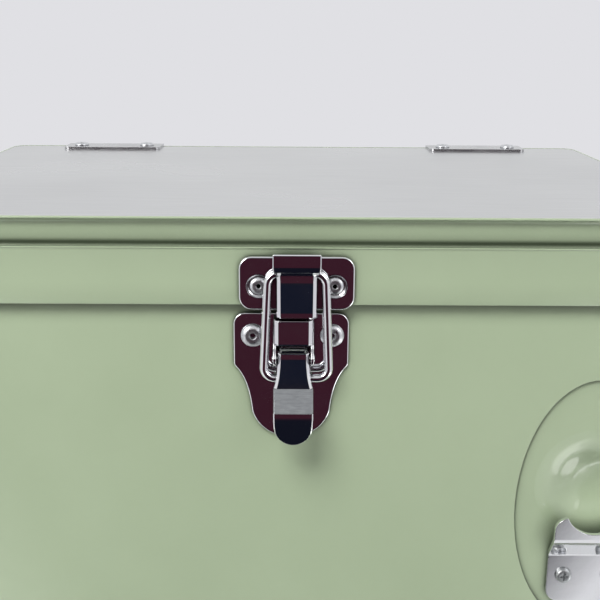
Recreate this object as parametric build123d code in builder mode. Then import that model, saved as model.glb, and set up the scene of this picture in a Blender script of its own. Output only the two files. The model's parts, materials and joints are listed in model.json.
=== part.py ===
from build123d import *
import math
import os

# A small steel cooler chest with a hinged lid, a draw latch, two drop handles, a drain and a bottle opener.
# Millimetres. +X is to the chest's right as seen from the front, the front faces -Y, and +Z is up.

os.makedirs("parts", exist_ok=True)

# Whole chest
BODY_WIDTH = 342
BODY_DEPTH = 236
BODY_CORNER = 10
SHEET = 0.8
FOOT_HEIGHT = 8.8
BODY_BOTTOM = 8
SHELL_TOP = 282.2

# Lid
OVERHANG = 4
SKIRT_WIDTH = BODY_WIDTH + 2 * OVERHANG
SKIRT_DEPTH = BODY_DEPTH + 2 * OVERHANG
SKIRT_CORNER = 9
SKIRT_BOTTOM = 270
LEDGE_Z = 293.4
GROOVE_TOP = 295.4
RIM_BOTTOM = 304
SHELL_LID_TOP = 305.2
LID_TOP = SHELL_LID_TOP + SHEET
GROOVE_INSET = 4.2
BAND_INSET = 2.8
COVE = 2
SHOULDER = 1.4
RIM_INSET = 0.6
HEM_HEIGHT = 5

# Tub, collar and gasket
TUB_WIDTH = 294
TUB_DEPTH = 188
TUB_CORNER = 22
TUB_WALL = 2
TUB_FLOOR = 34
TUB_FLANGE_Z = 279
COLLAR_LIP = 12
COLLAR_TOP = 284.2
GASKET_TOP = 286.2
LINER_TOP = 288.4
PLUG_GAP = 4
PLUG_BOTTOM = 276

# Pressed oval pad and its round dish, on the front
PAD_X = 127.2
PAD_Z = 180.2
PAD_HALF_WIDTH = 33
PAD_HALF_HEIGHT = 57.5
PAD_DEPTH = 1.2
DISH_Z = 190
DISH_RADIUS = 25
DISH_DEPTH = 7

# Hinges, at the back
HINGE_X = 111.4
HINGE_WIDTH = 58
LEAF = 1.5
BARREL_RADIUS = 3
HINGE_PIN_RADIUS = 1.5
RUNNING = 0.05
BARREL_Z = SKIRT_BOTTOM - BARREL_RADIUS
BARREL_Y = SKIRT_DEPTH / 2 + BARREL_RADIUS
KNUCKLE_HALF = 10
KNUCKLE_GAP = 0.3
TOP_FLANGE = 20
HINGE_RIVET_X = 20

# Draw latch. U in a name is a distance out from the body's front face. The lever and its bracket are centred
# on LATCH_X, the plate under them on LATCH_BASE_X and its rivets on LATCH_RIVETS_X.
LATCH_X = -1.2
LATCH_BASE_X = -2.1
LATCH_RIVETS_X = -1.6
PLATE = 1.2
WIRE_RADIUS = 1.6
PIVOT_U = 8.7
PIVOT_Z = 249.6
BAIL_PIVOT_U = 7.4
BAIL_PIVOT_Z = 240.9
HOOK_U = 7.8
HOOK_Z = 285.8
LEVER_TIP_U = 18

# Side handles and the drain
HANDLE_RADIUS = 3.5
HANDLE_Z = 212
HANDLE_STANDOFF = 6
HANDLE_HALF = 48
HANDLE_DROP = 45
DRAIN_Z = 57
DRAIN_BORE = 7
DRAIN_TUBE = 10
DRAIN_REACH = 7.6

# Rivets. Each head is its radius, its height and the radius of its hole.
RIVET_SHANK = 2
TAIL_RADIUS = 3.2
TAIL_HEIGHT = 2
HINGE_RIVET_HEAD = (4.2, 1.6, 1)
HANDLE_RIVET_HEAD = (4.2, 1.4, 1)
KEEPER_RIVET_HEAD = (3.7, 1, 1)
LATCH_RIVET_HEAD = (4.8, 2, 1.4)

FRONT_REACH = BODY_DEPTH / 2 + LEVER_TIP_U
BACK_REACH = BARREL_Y + BARREL_RADIUS
CENTRE_Y = (FRONT_REACH - BACK_REACH) / 2


def level(height):
    """Horizontal plane at this height, with its origin over the body's centre."""
    return Plane(origin=(0, CENTRE_Y, height), x_dir=(1, 0, 0), z_dir=(0, 0, 1))


def front(reach, across=0):
    """Upright plane facing the front, this far out from the body's front face. Local axes are X and Z."""
    place = CENTRE_Y - BODY_DEPTH / 2 - reach
    return Plane(origin=(across, place, 0), x_dir=(1, 0, 0), z_dir=(0, -1, 0))


def back(reach):
    """Upright plane facing the back, this far out from the body's back face. Local axes are -X and Z."""
    place = CENTRE_Y + BODY_DEPTH / 2 + reach
    return Plane(origin=(0, place, 0), x_dir=(-1, 0, 0), z_dir=(0, 1, 0))


def side(hand, reach):
    """Upright plane facing sideways, hand 1 for the right and -1 for the left. Local axes are Y and Z."""
    place = hand * (BODY_WIDTH / 2 + reach)
    return Plane(origin=(place, CENTRE_Y, 0), x_dir=(0, hand, 0), z_dir=(hand, 0, 0))


def section(across):
    """Plane across the chest at this X. Local axes are the reach out from the front face, and Z."""
    place = CENTRE_Y - BODY_DEPTH / 2
    return Plane(origin=(across, place, 0), x_dir=(0, -1, 0), z_dir=(-1, 0, 0))


def back_section(across):
    """Plane across the chest at this X. Local axes are Y from the body's centre, and Z."""
    return Plane(origin=(across, CENTRE_Y, 0), x_dir=(0, 1, 0), z_dir=(1, 0, 0))


def body_outline(inset):
    """Outline of the body, moved inwards by inset."""
    corner = max(BODY_CORNER - inset, 1)
    return RectangleRounded(BODY_WIDTH - 2 * inset, BODY_DEPTH - 2 * inset, corner)


def skirt_outline(inset):
    """Outline of the lid's skirt, moved inwards by inset."""
    corner = max(SKIRT_CORNER - inset, 3)
    return RectangleRounded(SKIRT_WIDTH - 2 * inset, SKIRT_DEPTH - 2 * inset, corner)


def tub_outline(inset, mode=Mode.ADD):
    """Outline of the tub's outside, moved inwards by inset."""
    corner = TUB_CORNER - inset
    return RectangleRounded(TUB_WIDTH - 2 * inset, TUB_DEPTH - 2 * inset, corner, mode=mode)


def dish_profile(radius, depth):
    """Half section of the dish, a smooth curve from its middle to its edge, on the dish's own plane."""
    with BuildSketch() as profile:
        with BuildLine():
            curve = Spline((0, -depth), (radius, 0), tangents=[(1, 0), (1, 0)])
            Line(curve @ 1, (0, 0))
            Line((0, 0), (0, -depth))
        make_face()
    return profile.sketch


def dish_plane(reach):
    """Plane through the dish's axis. Local axes are X and the reach out from the front face."""
    place = CENTRE_Y - BODY_DEPTH / 2 - reach
    return Plane(origin=(PAD_X, place, DISH_Z), x_dir=(1, 0, 0), z_dir=(0, 0, -1))


def rivet(head_radius, head_height, hole_radius, grip, tail_height):
    """Blind rivet with its head's underside on the local XY plane, and its head upwards."""
    with BuildPart() as one:
        Cylinder(head_radius, head_height, align=(Align.CENTER, Align.CENTER, Align.MIN))
        fillet(one.faces().sort_by(Axis.Z)[-1].edges(), 0.85 * head_height)
        with Locations((0, 0, -grip)):
            Cylinder(RIVET_SHANK, grip, align=(Align.CENTER, Align.CENTER, Align.MIN))
            Cylinder(TAIL_RADIUS - 0.2, tail_height, align=(Align.CENTER, Align.CENTER, Align.MAX))
        with Locations((0, 0, head_height)):
            Cylinder(
                hole_radius,
                0.8 * head_height,
                align=(Align.CENTER, Align.CENTER, Align.MAX),
                mode=Mode.SUBTRACT,
            )
    return one.part


# ---------------------------------------------------------------- body
PAN_TOP = BODY_BOTTOM + 2 * SHEET
FOOT_X = 140
FOOT_Y = 88
FOOT_RADIUS = 13
FOOT_TAPER = 8
COUNTERBORE_RADIUS = 5
COUNTERBORE_DEPTH = 5
SCREW_RADIUS = 2
SCREW_HEAD_RADIUS = 3.8
SCREW_HEAD_HEIGHT = 2.4
SLOT_LENGTH = 4.6
SLOT_WIDTH = 0.9
RETURN_FLANGE = 9
OPENER_SCREW_X = 10
OPENER_SCREW_Z = 148
OPENER_SCREW_RADIUS = 1.75
LATCH_RIVET_X = 16.1
LATCH_RIVET_Z = 257.1
KEEPER_RIVET_X = 15.2
KEEPER_RIVET_Z = 278.7
HINGE_BODY_RIVET_Z = 249
HANDLE_RIVET_Y = 24

with BuildPart() as body_shell:
    with BuildSketch(level(BODY_BOTTOM)):
        body_outline(0)
    extrude(amount=SHELL_TOP - BODY_BOTTOM)
    with BuildSketch(level(BODY_BOTTOM + SHEET)):
        body_outline(SHEET)
    extrude(amount=SHELL_TOP - BODY_BOTTOM - 2 * SHEET, mode=Mode.SUBTRACT)
    with BuildSketch(level(BODY_BOTTOM)):
        body_outline(RETURN_FLANGE)
    extrude(amount=SHELL_TOP - BODY_BOTTOM, mode=Mode.SUBTRACT)
    with BuildSketch(front(-PAD_DEPTH - SHEET)):
        with Locations((PAD_X, PAD_Z)):
            Ellipse(PAD_HALF_WIDTH + SHEET, PAD_HALF_HEIGHT + SHEET)
    extrude(amount=PAD_DEPTH + SHEET)
    with BuildSketch(dish_plane(-PAD_DEPTH - SHEET)):
        add(dish_profile(DISH_RADIUS + SHEET, DISH_DEPTH))
    revolve(axis=Axis((PAD_X, CENTRE_Y, DISH_Z), (0, 1, 0)))
    with BuildSketch(front(-PAD_DEPTH)):
        with Locations((PAD_X, PAD_Z)):
            Ellipse(PAD_HALF_WIDTH, PAD_HALF_HEIGHT)
    extrude(amount=PAD_DEPTH, mode=Mode.SUBTRACT)
    with BuildSketch(dish_plane(-PAD_DEPTH)):
        add(dish_profile(DISH_RADIUS, DISH_DEPTH))
    revolve(axis=Axis((PAD_X, CENTRE_Y, DISH_Z), (0, 1, 0)), mode=Mode.SUBTRACT)
    with BuildSketch(front(-SHEET)):
        with Locations((LATCH_RIVETS_X, LATCH_RIVET_Z)):
            with GridLocations(2 * LATCH_RIVET_X, 0, 2, 1):
                Circle(RIVET_SHANK)
    extrude(amount=SHEET, mode=Mode.SUBTRACT)
    with BuildSketch(front(-PAD_DEPTH - SHEET)):
        with Locations((PAD_X, OPENER_SCREW_Z)):
            with GridLocations(2 * OPENER_SCREW_X, 0, 2, 1):
                Circle(OPENER_SCREW_RADIUS)
    extrude(amount=SHEET, mode=Mode.SUBTRACT)
    with BuildSketch(back(-SHEET)):
        for hinge in (-HINGE_X, HINGE_X):
            with Locations((hinge, HINGE_BODY_RIVET_Z)):
                with GridLocations(2 * HINGE_RIVET_X, 0, 2, 1):
                    Circle(RIVET_SHANK)
    extrude(amount=SHEET, mode=Mode.SUBTRACT)
    for hand in (-1, 1):
        with BuildSketch(side(hand, -SHEET)):
            with Locations((0, HANDLE_Z)):
                with GridLocations(2 * HANDLE_RIVET_Y, 0, 2, 1):
                    Circle(RIVET_SHANK)
        extrude(amount=SHEET, mode=Mode.SUBTRACT)
    with BuildSketch(side(-1, -SHEET)):
        with Locations((0, DRAIN_Z)):
            Circle(DRAIN_TUBE)
    extrude(amount=SHEET, mode=Mode.SUBTRACT)
body_shell.part.label = "body_shell"
export_step(body_shell.part, "parts/body_shell.step")

with BuildPart() as bottom_pan:
    with BuildSketch(level(BODY_BOTTOM + SHEET)):
        body_outline(SHEET)
        with GridLocations(2 * FOOT_X, 2 * FOOT_Y, 2, 2):
            Circle(SCREW_RADIUS, mode=Mode.SUBTRACT)
    extrude(amount=SHEET)
bottom_pan.part.label = "bottom_pan"
export_step(bottom_pan.part, "parts/bottom_pan.step")

SCREW_LENGTH = 16
RIVET_TAIL = 3

with BuildPart() as body_foam:
    with BuildSketch(level(PAN_TOP)):
        body_outline(SHEET)
    extrude(amount=TUB_FLANGE_Z - PAN_TOP)
    with BuildSketch(level(TUB_FLOOR)):
        tub_outline(0)
    extrude(amount=TUB_FLANGE_Z - TUB_FLOOR, mode=Mode.SUBTRACT)
    with BuildSketch(front(-PAD_DEPTH - SHEET)):
        with Locations((PAD_X, PAD_Z)):
            Ellipse(PAD_HALF_WIDTH + SHEET, PAD_HALF_HEIGHT + SHEET)
    extrude(amount=PAD_DEPTH + SHEET, mode=Mode.SUBTRACT)
    with BuildSketch(dish_plane(-PAD_DEPTH - SHEET)):
        add(dish_profile(DISH_RADIUS + SHEET, DISH_DEPTH))
    revolve(axis=Axis((PAD_X, CENTRE_Y, DISH_Z), (0, 1, 0)), mode=Mode.SUBTRACT)
    with BuildSketch(level(PAN_TOP)):
        with GridLocations(2 * FOOT_X, 2 * FOOT_Y, 2, 2):
            Circle(SCREW_RADIUS)
    extrude(amount=SCREW_LENGTH, mode=Mode.SUBTRACT)
    with BuildSketch(front(-SHEET)):
        with Locations((LATCH_RIVETS_X, LATCH_RIVET_Z)):
            with GridLocations(2 * LATCH_RIVET_X, 0, 2, 1):
                Circle(TAIL_RADIUS)
    extrude(amount=-RIVET_TAIL, mode=Mode.SUBTRACT)
    with BuildSketch(front(-PAD_DEPTH - SHEET)):
        with Locations((PAD_X, OPENER_SCREW_Z)):
            with GridLocations(2 * OPENER_SCREW_X, 0, 2, 1):
                Circle(OPENER_SCREW_RADIUS)
    extrude(amount=-SCREW_LENGTH / 2, mode=Mode.SUBTRACT)
    with BuildSketch(back(-SHEET)):
        for hinge in (-HINGE_X, HINGE_X):
            with Locations((hinge, HINGE_BODY_RIVET_Z)):
                with GridLocations(2 * HINGE_RIVET_X, 0, 2, 1):
                    Circle(TAIL_RADIUS)
    extrude(amount=-RIVET_TAIL, mode=Mode.SUBTRACT)
    for hand in (-1, 1):
        with BuildSketch(side(hand, -SHEET)):
            with Locations((0, HANDLE_Z)):
                with GridLocations(2 * HANDLE_RIVET_Y, 0, 2, 1):
                    Circle(TAIL_RADIUS)
        extrude(amount=-RIVET_TAIL, mode=Mode.SUBTRACT)
    with BuildSketch(side(-1, 0)):
        with Locations((0, DRAIN_Z)):
            Circle(DRAIN_TUBE)
    extrude(amount=-(BODY_WIDTH - TUB_WIDTH) / 2, mode=Mode.SUBTRACT)
body_foam.part.label = "body_foam"
export_step(body_foam.part, "parts/body_foam.step")

with BuildPart() as tub_space:
    with BuildSketch(level(TUB_FLOOR + TUB_WALL)):
        tub_outline(TUB_WALL)
    extrude(amount=SHELL_TOP - TUB_FLOOR)
    fillet(tub_space.faces().sort_by(Axis.Z)[0].edges(), 6)

with BuildPart() as inner_liner:
    with BuildSketch(level(TUB_FLOOR)):
        tub_outline(0)
    extrude(amount=SHELL_TOP - SHEET - TUB_FLOOR)
    fillet(inner_liner.faces().sort_by(Axis.Z)[0].edges(), 8)
    with BuildSketch(level(TUB_FLANGE_Z)):
        body_outline(SHEET)
    extrude(amount=SHELL_TOP - SHEET - TUB_FLANGE_Z)
    add(tub_space.part, mode=Mode.SUBTRACT)
    with BuildSketch(side(-1, 0)):
        with Locations((0, DRAIN_Z)):
            Circle(DRAIN_TUBE)
    extrude(amount=-(BODY_WIDTH - TUB_WIDTH) / 2 - 3 * TUB_WALL, mode=Mode.SUBTRACT)
inner_liner.part.label = "inner_liner"
export_step(inner_liner.part, "parts/inner_liner.step")

with BuildPart() as top_collar:
    with BuildSketch(level(SHELL_TOP)):
        body_outline(0)
    extrude(amount=COLLAR_TOP - SHELL_TOP)
    fillet(top_collar.faces().sort_by(Axis.Z)[-1].edges(), 0.8)
    with BuildSketch(level(COLLAR_TOP - COLLAR_LIP)):
        tub_outline(TUB_WALL + 0.2)
    extrude(amount=COLLAR_LIP - (COLLAR_TOP - SHELL_TOP))
    with BuildSketch(level(COLLAR_TOP - COLLAR_LIP)):
        tub_outline(2 * TUB_WALL + 0.2)
    extrude(amount=COLLAR_LIP, mode=Mode.SUBTRACT)
top_collar.part.label = "top_collar"
export_step(top_collar.part, "parts/top_collar.step")

with BuildPart() as feet:
    with BuildSketch(level(FOOT_HEIGHT)):
        with GridLocations(2 * FOOT_X, 2 * FOOT_Y, 2, 2):
            Circle(FOOT_RADIUS)
    extrude(amount=-FOOT_HEIGHT, taper=FOOT_TAPER)
    with BuildSketch(level(0)):
        with GridLocations(2 * FOOT_X, 2 * FOOT_Y, 2, 2):
            Circle(COUNTERBORE_RADIUS)
    extrude(amount=COUNTERBORE_DEPTH, mode=Mode.SUBTRACT)
    with BuildSketch(level(0)):
        with GridLocations(2 * FOOT_X, 2 * FOOT_Y, 2, 2):
            Circle(SCREW_RADIUS)
    extrude(amount=FOOT_HEIGHT, mode=Mode.SUBTRACT)
feet.part.label = "feet"
export_step(feet.part, "parts/feet.step")

with BuildPart() as foot_screws:
    with BuildSketch(level(COUNTERBORE_DEPTH - SCREW_HEAD_HEIGHT)):
        with GridLocations(2 * FOOT_X, 2 * FOOT_Y, 2, 2):
            Circle(SCREW_HEAD_RADIUS)
    extrude(amount=SCREW_HEAD_HEIGHT)
    with BuildSketch(level(COUNTERBORE_DEPTH - SCREW_HEAD_HEIGHT)):
        with GridLocations(2 * FOOT_X, 2 * FOOT_Y, 2, 2):
            Rectangle(SLOT_LENGTH, SLOT_WIDTH)
            Rectangle(SLOT_WIDTH, SLOT_LENGTH)
    extrude(amount=SCREW_HEAD_HEIGHT / 2, mode=Mode.SUBTRACT)
    with BuildSketch(level(COUNTERBORE_DEPTH)):
        with GridLocations(2 * FOOT_X, 2 * FOOT_Y, 2, 2):
            Circle(SCREW_RADIUS)
    extrude(amount=PAN_TOP + SCREW_LENGTH - COUNTERBORE_DEPTH)
foot_screws.part.label = "foot_screws"
export_step(foot_screws.part, "parts/foot_screws.step")

# ---------------------------------------------------------------- drain, on the left side
WALL_THICKNESS = (BODY_WIDTH - TUB_WIDTH) / 2 + TUB_WALL
SEAL = 1.5
SPOUT_FLANGE = 2
SPOUT_FLANGE_RADIUS = 14
WASHER_RADIUS = 13
NUT_RADIUS = 16
NUT_HEIGHT = 2.5
CAP_RADIUS = 14
CAP_GAP = 0.2
CAP_LENGTH = 6.4
CAP_SOCKET = 4.9
GRIP_COUNT = 18
GRIP_RADIUS = 0.9

with BuildPart() as drain_spout:
    with BuildSketch(side(-1, -WALL_THICKNESS - SEAL - SPOUT_FLANGE)):
        with Locations((0, DRAIN_Z)):
            Circle(SPOUT_FLANGE_RADIUS)
    extrude(amount=SPOUT_FLANGE)
    with BuildSketch(side(-1, -WALL_THICKNESS - SEAL)):
        with Locations((0, DRAIN_Z)):
            Circle(DRAIN_TUBE)
    extrude(amount=WALL_THICKNESS + SEAL + DRAIN_REACH)
    with BuildSketch(side(-1, -WALL_THICKNESS - SEAL - SPOUT_FLANGE)):
        with Locations((0, DRAIN_Z)):
            Circle(DRAIN_BORE)
    extrude(amount=WALL_THICKNESS + SEAL + SPOUT_FLANGE + DRAIN_REACH, mode=Mode.SUBTRACT)
drain_spout.part.label = "drain_spout"
export_step(drain_spout.part, "parts/drain_spout.step")

with BuildPart() as drain_washer:
    with BuildSketch(side(-1, -WALL_THICKNESS - SEAL)):
        with Locations((0, DRAIN_Z)):
            Circle(WASHER_RADIUS)
            Circle(DRAIN_TUBE, mode=Mode.SUBTRACT)
    extrude(amount=SEAL)
drain_washer.part.label = "drain_washer"
export_step(drain_washer.part, "parts/drain_washer.step")

with BuildPart() as drain_nut:
    with BuildSketch(side(-1, 0)):
        with Locations((0, DRAIN_Z)):
            RegularPolygon(NUT_RADIUS, 6)
            Circle(DRAIN_TUBE, mode=Mode.SUBTRACT)
    extrude(amount=NUT_HEIGHT)
drain_nut.part.label = "drain_nut"
export_step(drain_nut.part, "parts/drain_nut.step")

with BuildPart() as drain_cap:
    with BuildSketch(side(-1, NUT_HEIGHT + CAP_GAP)):
        with Locations((0, DRAIN_Z)):
            Circle(CAP_RADIUS)
    extrude(amount=CAP_LENGTH)
    fillet(drain_cap.edges().sort_by(Axis.X)[0], 1.2)
    with BuildSketch(side(-1, NUT_HEIGHT + CAP_GAP)):
        with Locations((0, DRAIN_Z)):
            Circle(DRAIN_TUBE + RUNNING)
    extrude(amount=CAP_SOCKET + RUNNING, mode=Mode.SUBTRACT)
    with BuildSketch(side(-1, NUT_HEIGHT + CAP_GAP)):
        with Locations((0, DRAIN_Z)):
            with PolarLocations(CAP_RADIUS + GRIP_RADIUS / 2, GRIP_COUNT):
                Circle(GRIP_RADIUS)
    extrude(amount=CAP_LENGTH, mode=Mode.SUBTRACT)
drain_cap.part.label = "drain_cap"
export_step(drain_cap.part, "parts/drain_cap.step")

# ---------------------------------------------------------------- lid
TOP_FLANGE_INSET = 18
LID_RIVET_Y = SKIRT_DEPTH / 2 - TOP_FLANGE / 2
KEEPER_FLOOR = OVERHANG + 0.6

with BuildPart() as lid_shell:
    with BuildSketch(level(SKIRT_BOTTOM)):
        skirt_outline(0)
    extrude(amount=LEDGE_Z - SKIRT_BOTTOM)
    fillet(lid_shell.faces().sort_by(Axis.Z)[-1].edges(), SHOULDER)
    with BuildSketch(level(LEDGE_Z)):
        skirt_outline(GROOVE_INSET)
    extrude(amount=GROOVE_TOP - LEDGE_Z)
    with BuildSketch(level(GROOVE_TOP)):
        skirt_outline(BAND_INSET)
    extrude(amount=RIM_BOTTOM - GROOVE_TOP)
    with BuildSketch(level(RIM_BOTTOM)):
        skirt_outline(RIM_INSET)
    extrude(amount=SHELL_LID_TOP - RIM_BOTTOM)
    rim_underside = lid_shell.faces().filter_by_position(Axis.Z, RIM_BOTTOM - 0.1, RIM_BOTTOM + 0.1)
    fillet(rim_underside.sort_by(SortBy.AREA)[-1].inner_wires()[0].edges(), COVE)
    with BuildSketch(level(SKIRT_BOTTOM)):
        skirt_outline(2 * SHEET)
    extrude(amount=HEM_HEIGHT, mode=Mode.SUBTRACT)
    with BuildSketch(level(SKIRT_BOTTOM + HEM_HEIGHT)):
        skirt_outline(SHEET)
    extrude(amount=LEDGE_Z - SHEET - SKIRT_BOTTOM - HEM_HEIGHT, mode=Mode.SUBTRACT)
    with BuildSketch(level(LEDGE_Z - SHEET)):
        skirt_outline(GROOVE_INSET + SHEET)
    extrude(amount=SHELL_LID_TOP - LEDGE_Z, mode=Mode.SUBTRACT)
    with BuildSketch(level(SHELL_LID_TOP - SHEET)):
        skirt_outline(TOP_FLANGE_INSET)
    extrude(amount=SHEET, mode=Mode.SUBTRACT)
    with BuildSketch(level(SHELL_LID_TOP - SHEET)):
        for hinge in (-HINGE_X, HINGE_X):
            with Locations((hinge, LID_RIVET_Y)):
                with GridLocations(2 * HINGE_RIVET_X, 0, 2, 1):
                    Circle(RIVET_SHANK)
    extrude(amount=SHEET, mode=Mode.SUBTRACT)
    with BuildSketch(front(OVERHANG - SHEET)):
        with Locations((0, KEEPER_RIVET_Z)):
            with GridLocations(2 * KEEPER_RIVET_X, 0, 2, 1):
                Circle(RIVET_SHANK)
    extrude(amount=SHEET, mode=Mode.SUBTRACT)
lid_shell.part.label = "lid_shell"
export_step(lid_shell.part, "parts/lid_shell.step")

with BuildPart() as lid_top_plate:
    with BuildSketch(level(SHELL_LID_TOP)):
        skirt_outline(RIM_INSET + 0.2)
        for hinge in (-HINGE_X, HINGE_X):
            with Locations((hinge, LID_RIVET_Y)):
                with GridLocations(2 * HINGE_RIVET_X, 0, 2, 1):
                    Circle(RIVET_SHANK, mode=Mode.SUBTRACT)
    extrude(amount=SHEET)
    fillet(lid_top_plate.faces().sort_by(Axis.Z)[-1].outer_wire().edges(), 0.3)
lid_top_plate.part.label = "lid_top_plate"
export_step(lid_top_plate.part, "parts/lid_top_plate.step")

with BuildPart() as lid_liner:
    with BuildSketch(level(GASKET_TOP)):
        skirt_outline(GROOVE_INSET + SHEET)
    extrude(amount=LINER_TOP - GASKET_TOP)
    with BuildSketch(level(PLUG_BOTTOM)):
        tub_outline(2 * TUB_WALL + 0.2 + PLUG_GAP)
    extrude(amount=GASKET_TOP - PLUG_BOTTOM)
    fillet(lid_liner.faces().sort_by(Axis.Z)[0].edges(), 4)
    with BuildSketch(level(PLUG_BOTTOM + TUB_WALL)):
        tub_outline(3 * TUB_WALL + 0.2 + PLUG_GAP)
    extrude(amount=LINER_TOP - PLUG_BOTTOM - TUB_WALL, mode=Mode.SUBTRACT)
lid_liner.part.label = "lid_liner"
export_step(lid_liner.part, "parts/lid_liner.step")

with BuildPart() as lid_foam:
    with BuildSketch(level(LINER_TOP)):
        skirt_outline(GROOVE_INSET + SHEET)
    extrude(amount=SHELL_LID_TOP - SHEET - LINER_TOP)
    with BuildSketch(level(PLUG_BOTTOM + TUB_WALL)):
        tub_outline(3 * TUB_WALL + 0.2 + PLUG_GAP)
    extrude(amount=LINER_TOP - PLUG_BOTTOM - TUB_WALL)
    with BuildSketch(level(SHELL_LID_TOP - SHEET)):
        skirt_outline(TOP_FLANGE_INSET)
    extrude(amount=SHEET)
    with BuildSketch(level(SHELL_LID_TOP - SHEET)):
        for hinge in (-HINGE_X, HINGE_X):
            with Locations((hinge, LID_RIVET_Y)):
                with GridLocations(2 * HINGE_RIVET_X, 0, 2, 1):
                    Circle(TAIL_RADIUS)
    extrude(amount=-RIVET_TAIL, mode=Mode.SUBTRACT)
lid_foam.part.label = "lid_foam"
export_step(lid_foam.part, "parts/lid_foam.step")

with BuildPart() as lid_gasket:
    with BuildSketch(level(COLLAR_TOP)):
        tub_outline(-6)
        tub_outline(0, mode=Mode.SUBTRACT)
    extrude(amount=GASKET_TOP - COLLAR_TOP)
lid_gasket.part.label = "lid_gasket"
export_step(lid_gasket.part, "parts/lid_gasket.step")

# ---------------------------------------------------------------- latch keeper, on the lid's skirt
KEEPER_HALF_WIDTH = 23.1
KEEPER_BOTTOM = 269
KEEPER_TOP = 290.8
KEEPER_CORNER = 5.2
KEEPER_FACE = OVERHANG + 1.6
DIMPLE_RADIUS = 4.8
STRIP_HALF = 7.1
STRIP_BOTTOM = 266.8
STRIP_FACE = 9.2
LIP_HALF = 9.5
LIP_INSIDE = 12
STEP_TOP = HOOK_Z - WIRE_RADIUS - 0.1
LIP_TOP = 292.4

with BuildPart() as latch_keeper:
    with BuildSketch(front(OVERHANG)):
        with Locations((0, (KEEPER_TOP + KEEPER_BOTTOM) / 2)):
            RectangleRounded(2 * KEEPER_HALF_WIDTH, KEEPER_TOP - KEEPER_BOTTOM, KEEPER_CORNER)
    extrude(amount=KEEPER_FACE - OVERHANG)
    chamfer(latch_keeper.faces().sort_by(Axis.Y)[0].edges(), 0.7)
    with BuildSketch(front(KEEPER_FLOOR)):
        with Locations((0, KEEPER_RIVET_Z)):
            with GridLocations(2 * KEEPER_RIVET_X, 0, 2, 1):
                Circle(DIMPLE_RADIUS - 0.7)
    extrude(amount=KEEPER_FACE - KEEPER_FLOOR, taper=-35, mode=Mode.SUBTRACT)
    with BuildSketch(front(OVERHANG)):
        with Locations((0, KEEPER_RIVET_Z)):
            with GridLocations(2 * KEEPER_RIVET_X, 0, 2, 1):
                Circle(RIVET_SHANK)
    extrude(amount=KEEPER_FACE - OVERHANG, mode=Mode.SUBTRACT)
    with BuildSketch(section(0)):
        with BuildLine():
            FilletPolyline(
                (OVERHANG + 0.6, STRIP_BOTTOM),
                (STRIP_FACE - 0.6, STRIP_BOTTOM + 1.6),
                (STRIP_FACE - 0.6, STEP_TOP - PLATE / 2),
                (LIP_INSIDE + 0.6, STEP_TOP - PLATE / 2),
                (LIP_INSIDE + 0.6, LIP_TOP),
                radius=0.9,
            )
            offset(amount=PLATE / 2, side=Side.BOTH)
        make_face()
    extrude(amount=STRIP_HALF, both=True)
    with BuildSketch(section(0)):
        with BuildLine():
            Polyline(
                (OVERHANG, STRIP_BOTTOM + 1.2),
                (STRIP_FACE - PLATE, STRIP_BOTTOM + 2.2),
                (STRIP_FACE - PLATE, STEP_TOP - PLATE),
                (STRIP_FACE, STEP_TOP - PLATE),
                (STRIP_FACE, STEP_TOP),
                (OVERHANG, STEP_TOP),
                close=True,
            )
        make_face()
    extrude(amount=STRIP_HALF, both=True)
    with BuildSketch(front(LIP_INSIDE)):
        with Locations((0, (LIP_TOP + STEP_TOP + 0.6) / 2)):
            Rectangle(2 * LIP_HALF, LIP_TOP - STEP_TOP - 0.6)
    extrude(amount=PLATE)
latch_keeper.part.label = "latch_keeper"
export_step(latch_keeper.part, "parts/latch_keeper.step")

with BuildPart() as latch_keeper_rivets:
    with Locations(front(KEEPER_FLOOR)):
        with Locations((0, KEEPER_RIVET_Z)):
            with GridLocations(2 * KEEPER_RIVET_X, 0, 2, 1):
                add(rivet(*KEEPER_RIVET_HEAD, KEEPER_FLOOR - OVERHANG + SHEET, 1.2))
latch_keeper_rivets.part.label = "latch_keeper_rivets"
export_step(latch_keeper_rivets.part, "parts/latch_keeper_rivets.step")

# ---------------------------------------------------------------- latch base, lever and bail, on the body
BASE_TOP = 266.6
BASE_HALF = 23.5
BASE_CORNER = 4.8
BASE_SHOULDER = 244.4
BASE_NECK = 224.8
BASE_NECK_HALF = 16.2
BASE_BOTTOM = 212.4
EAR_OUTSIDE = 8.2
EAR_INSIDE = 7
EAR_FRONT = 10.2
EAR_TOP = 265.9
WEB_BOTTOM = 255.2
LOBE = 3.2

def latch_base_outline():
    """Outline of the latch base, about its own centre line."""
    with BuildSketch() as plate:
        with BuildLine():
            Line((0, BASE_TOP), (BASE_HALF, BASE_TOP))
            Line((BASE_HALF, BASE_TOP), (BASE_HALF, BASE_SHOULDER))
            Line((BASE_HALF, BASE_SHOULDER), (BASE_HALF - 1.8, BASE_SHOULDER - 2.1))
            ThreePointArc(
                (BASE_HALF - 1.8, BASE_SHOULDER - 2.1),
                (BASE_NECK_HALF + 1.6, BASE_SHOULDER - 10.4),
                (BASE_NECK_HALF, BASE_NECK),
            )
            ThreePointArc((BASE_NECK_HALF, BASE_NECK), (11.8, 217.2), (0, BASE_BOTTOM))
            mirror(about=Plane.YZ)
        make_face()
        top_corners = plate.vertices().group_by(Axis.Y)[-1].sort_by(Axis.X)
        fillet([top_corners[0], top_corners[-1]], BASE_CORNER)
    return plate.sketch


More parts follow.
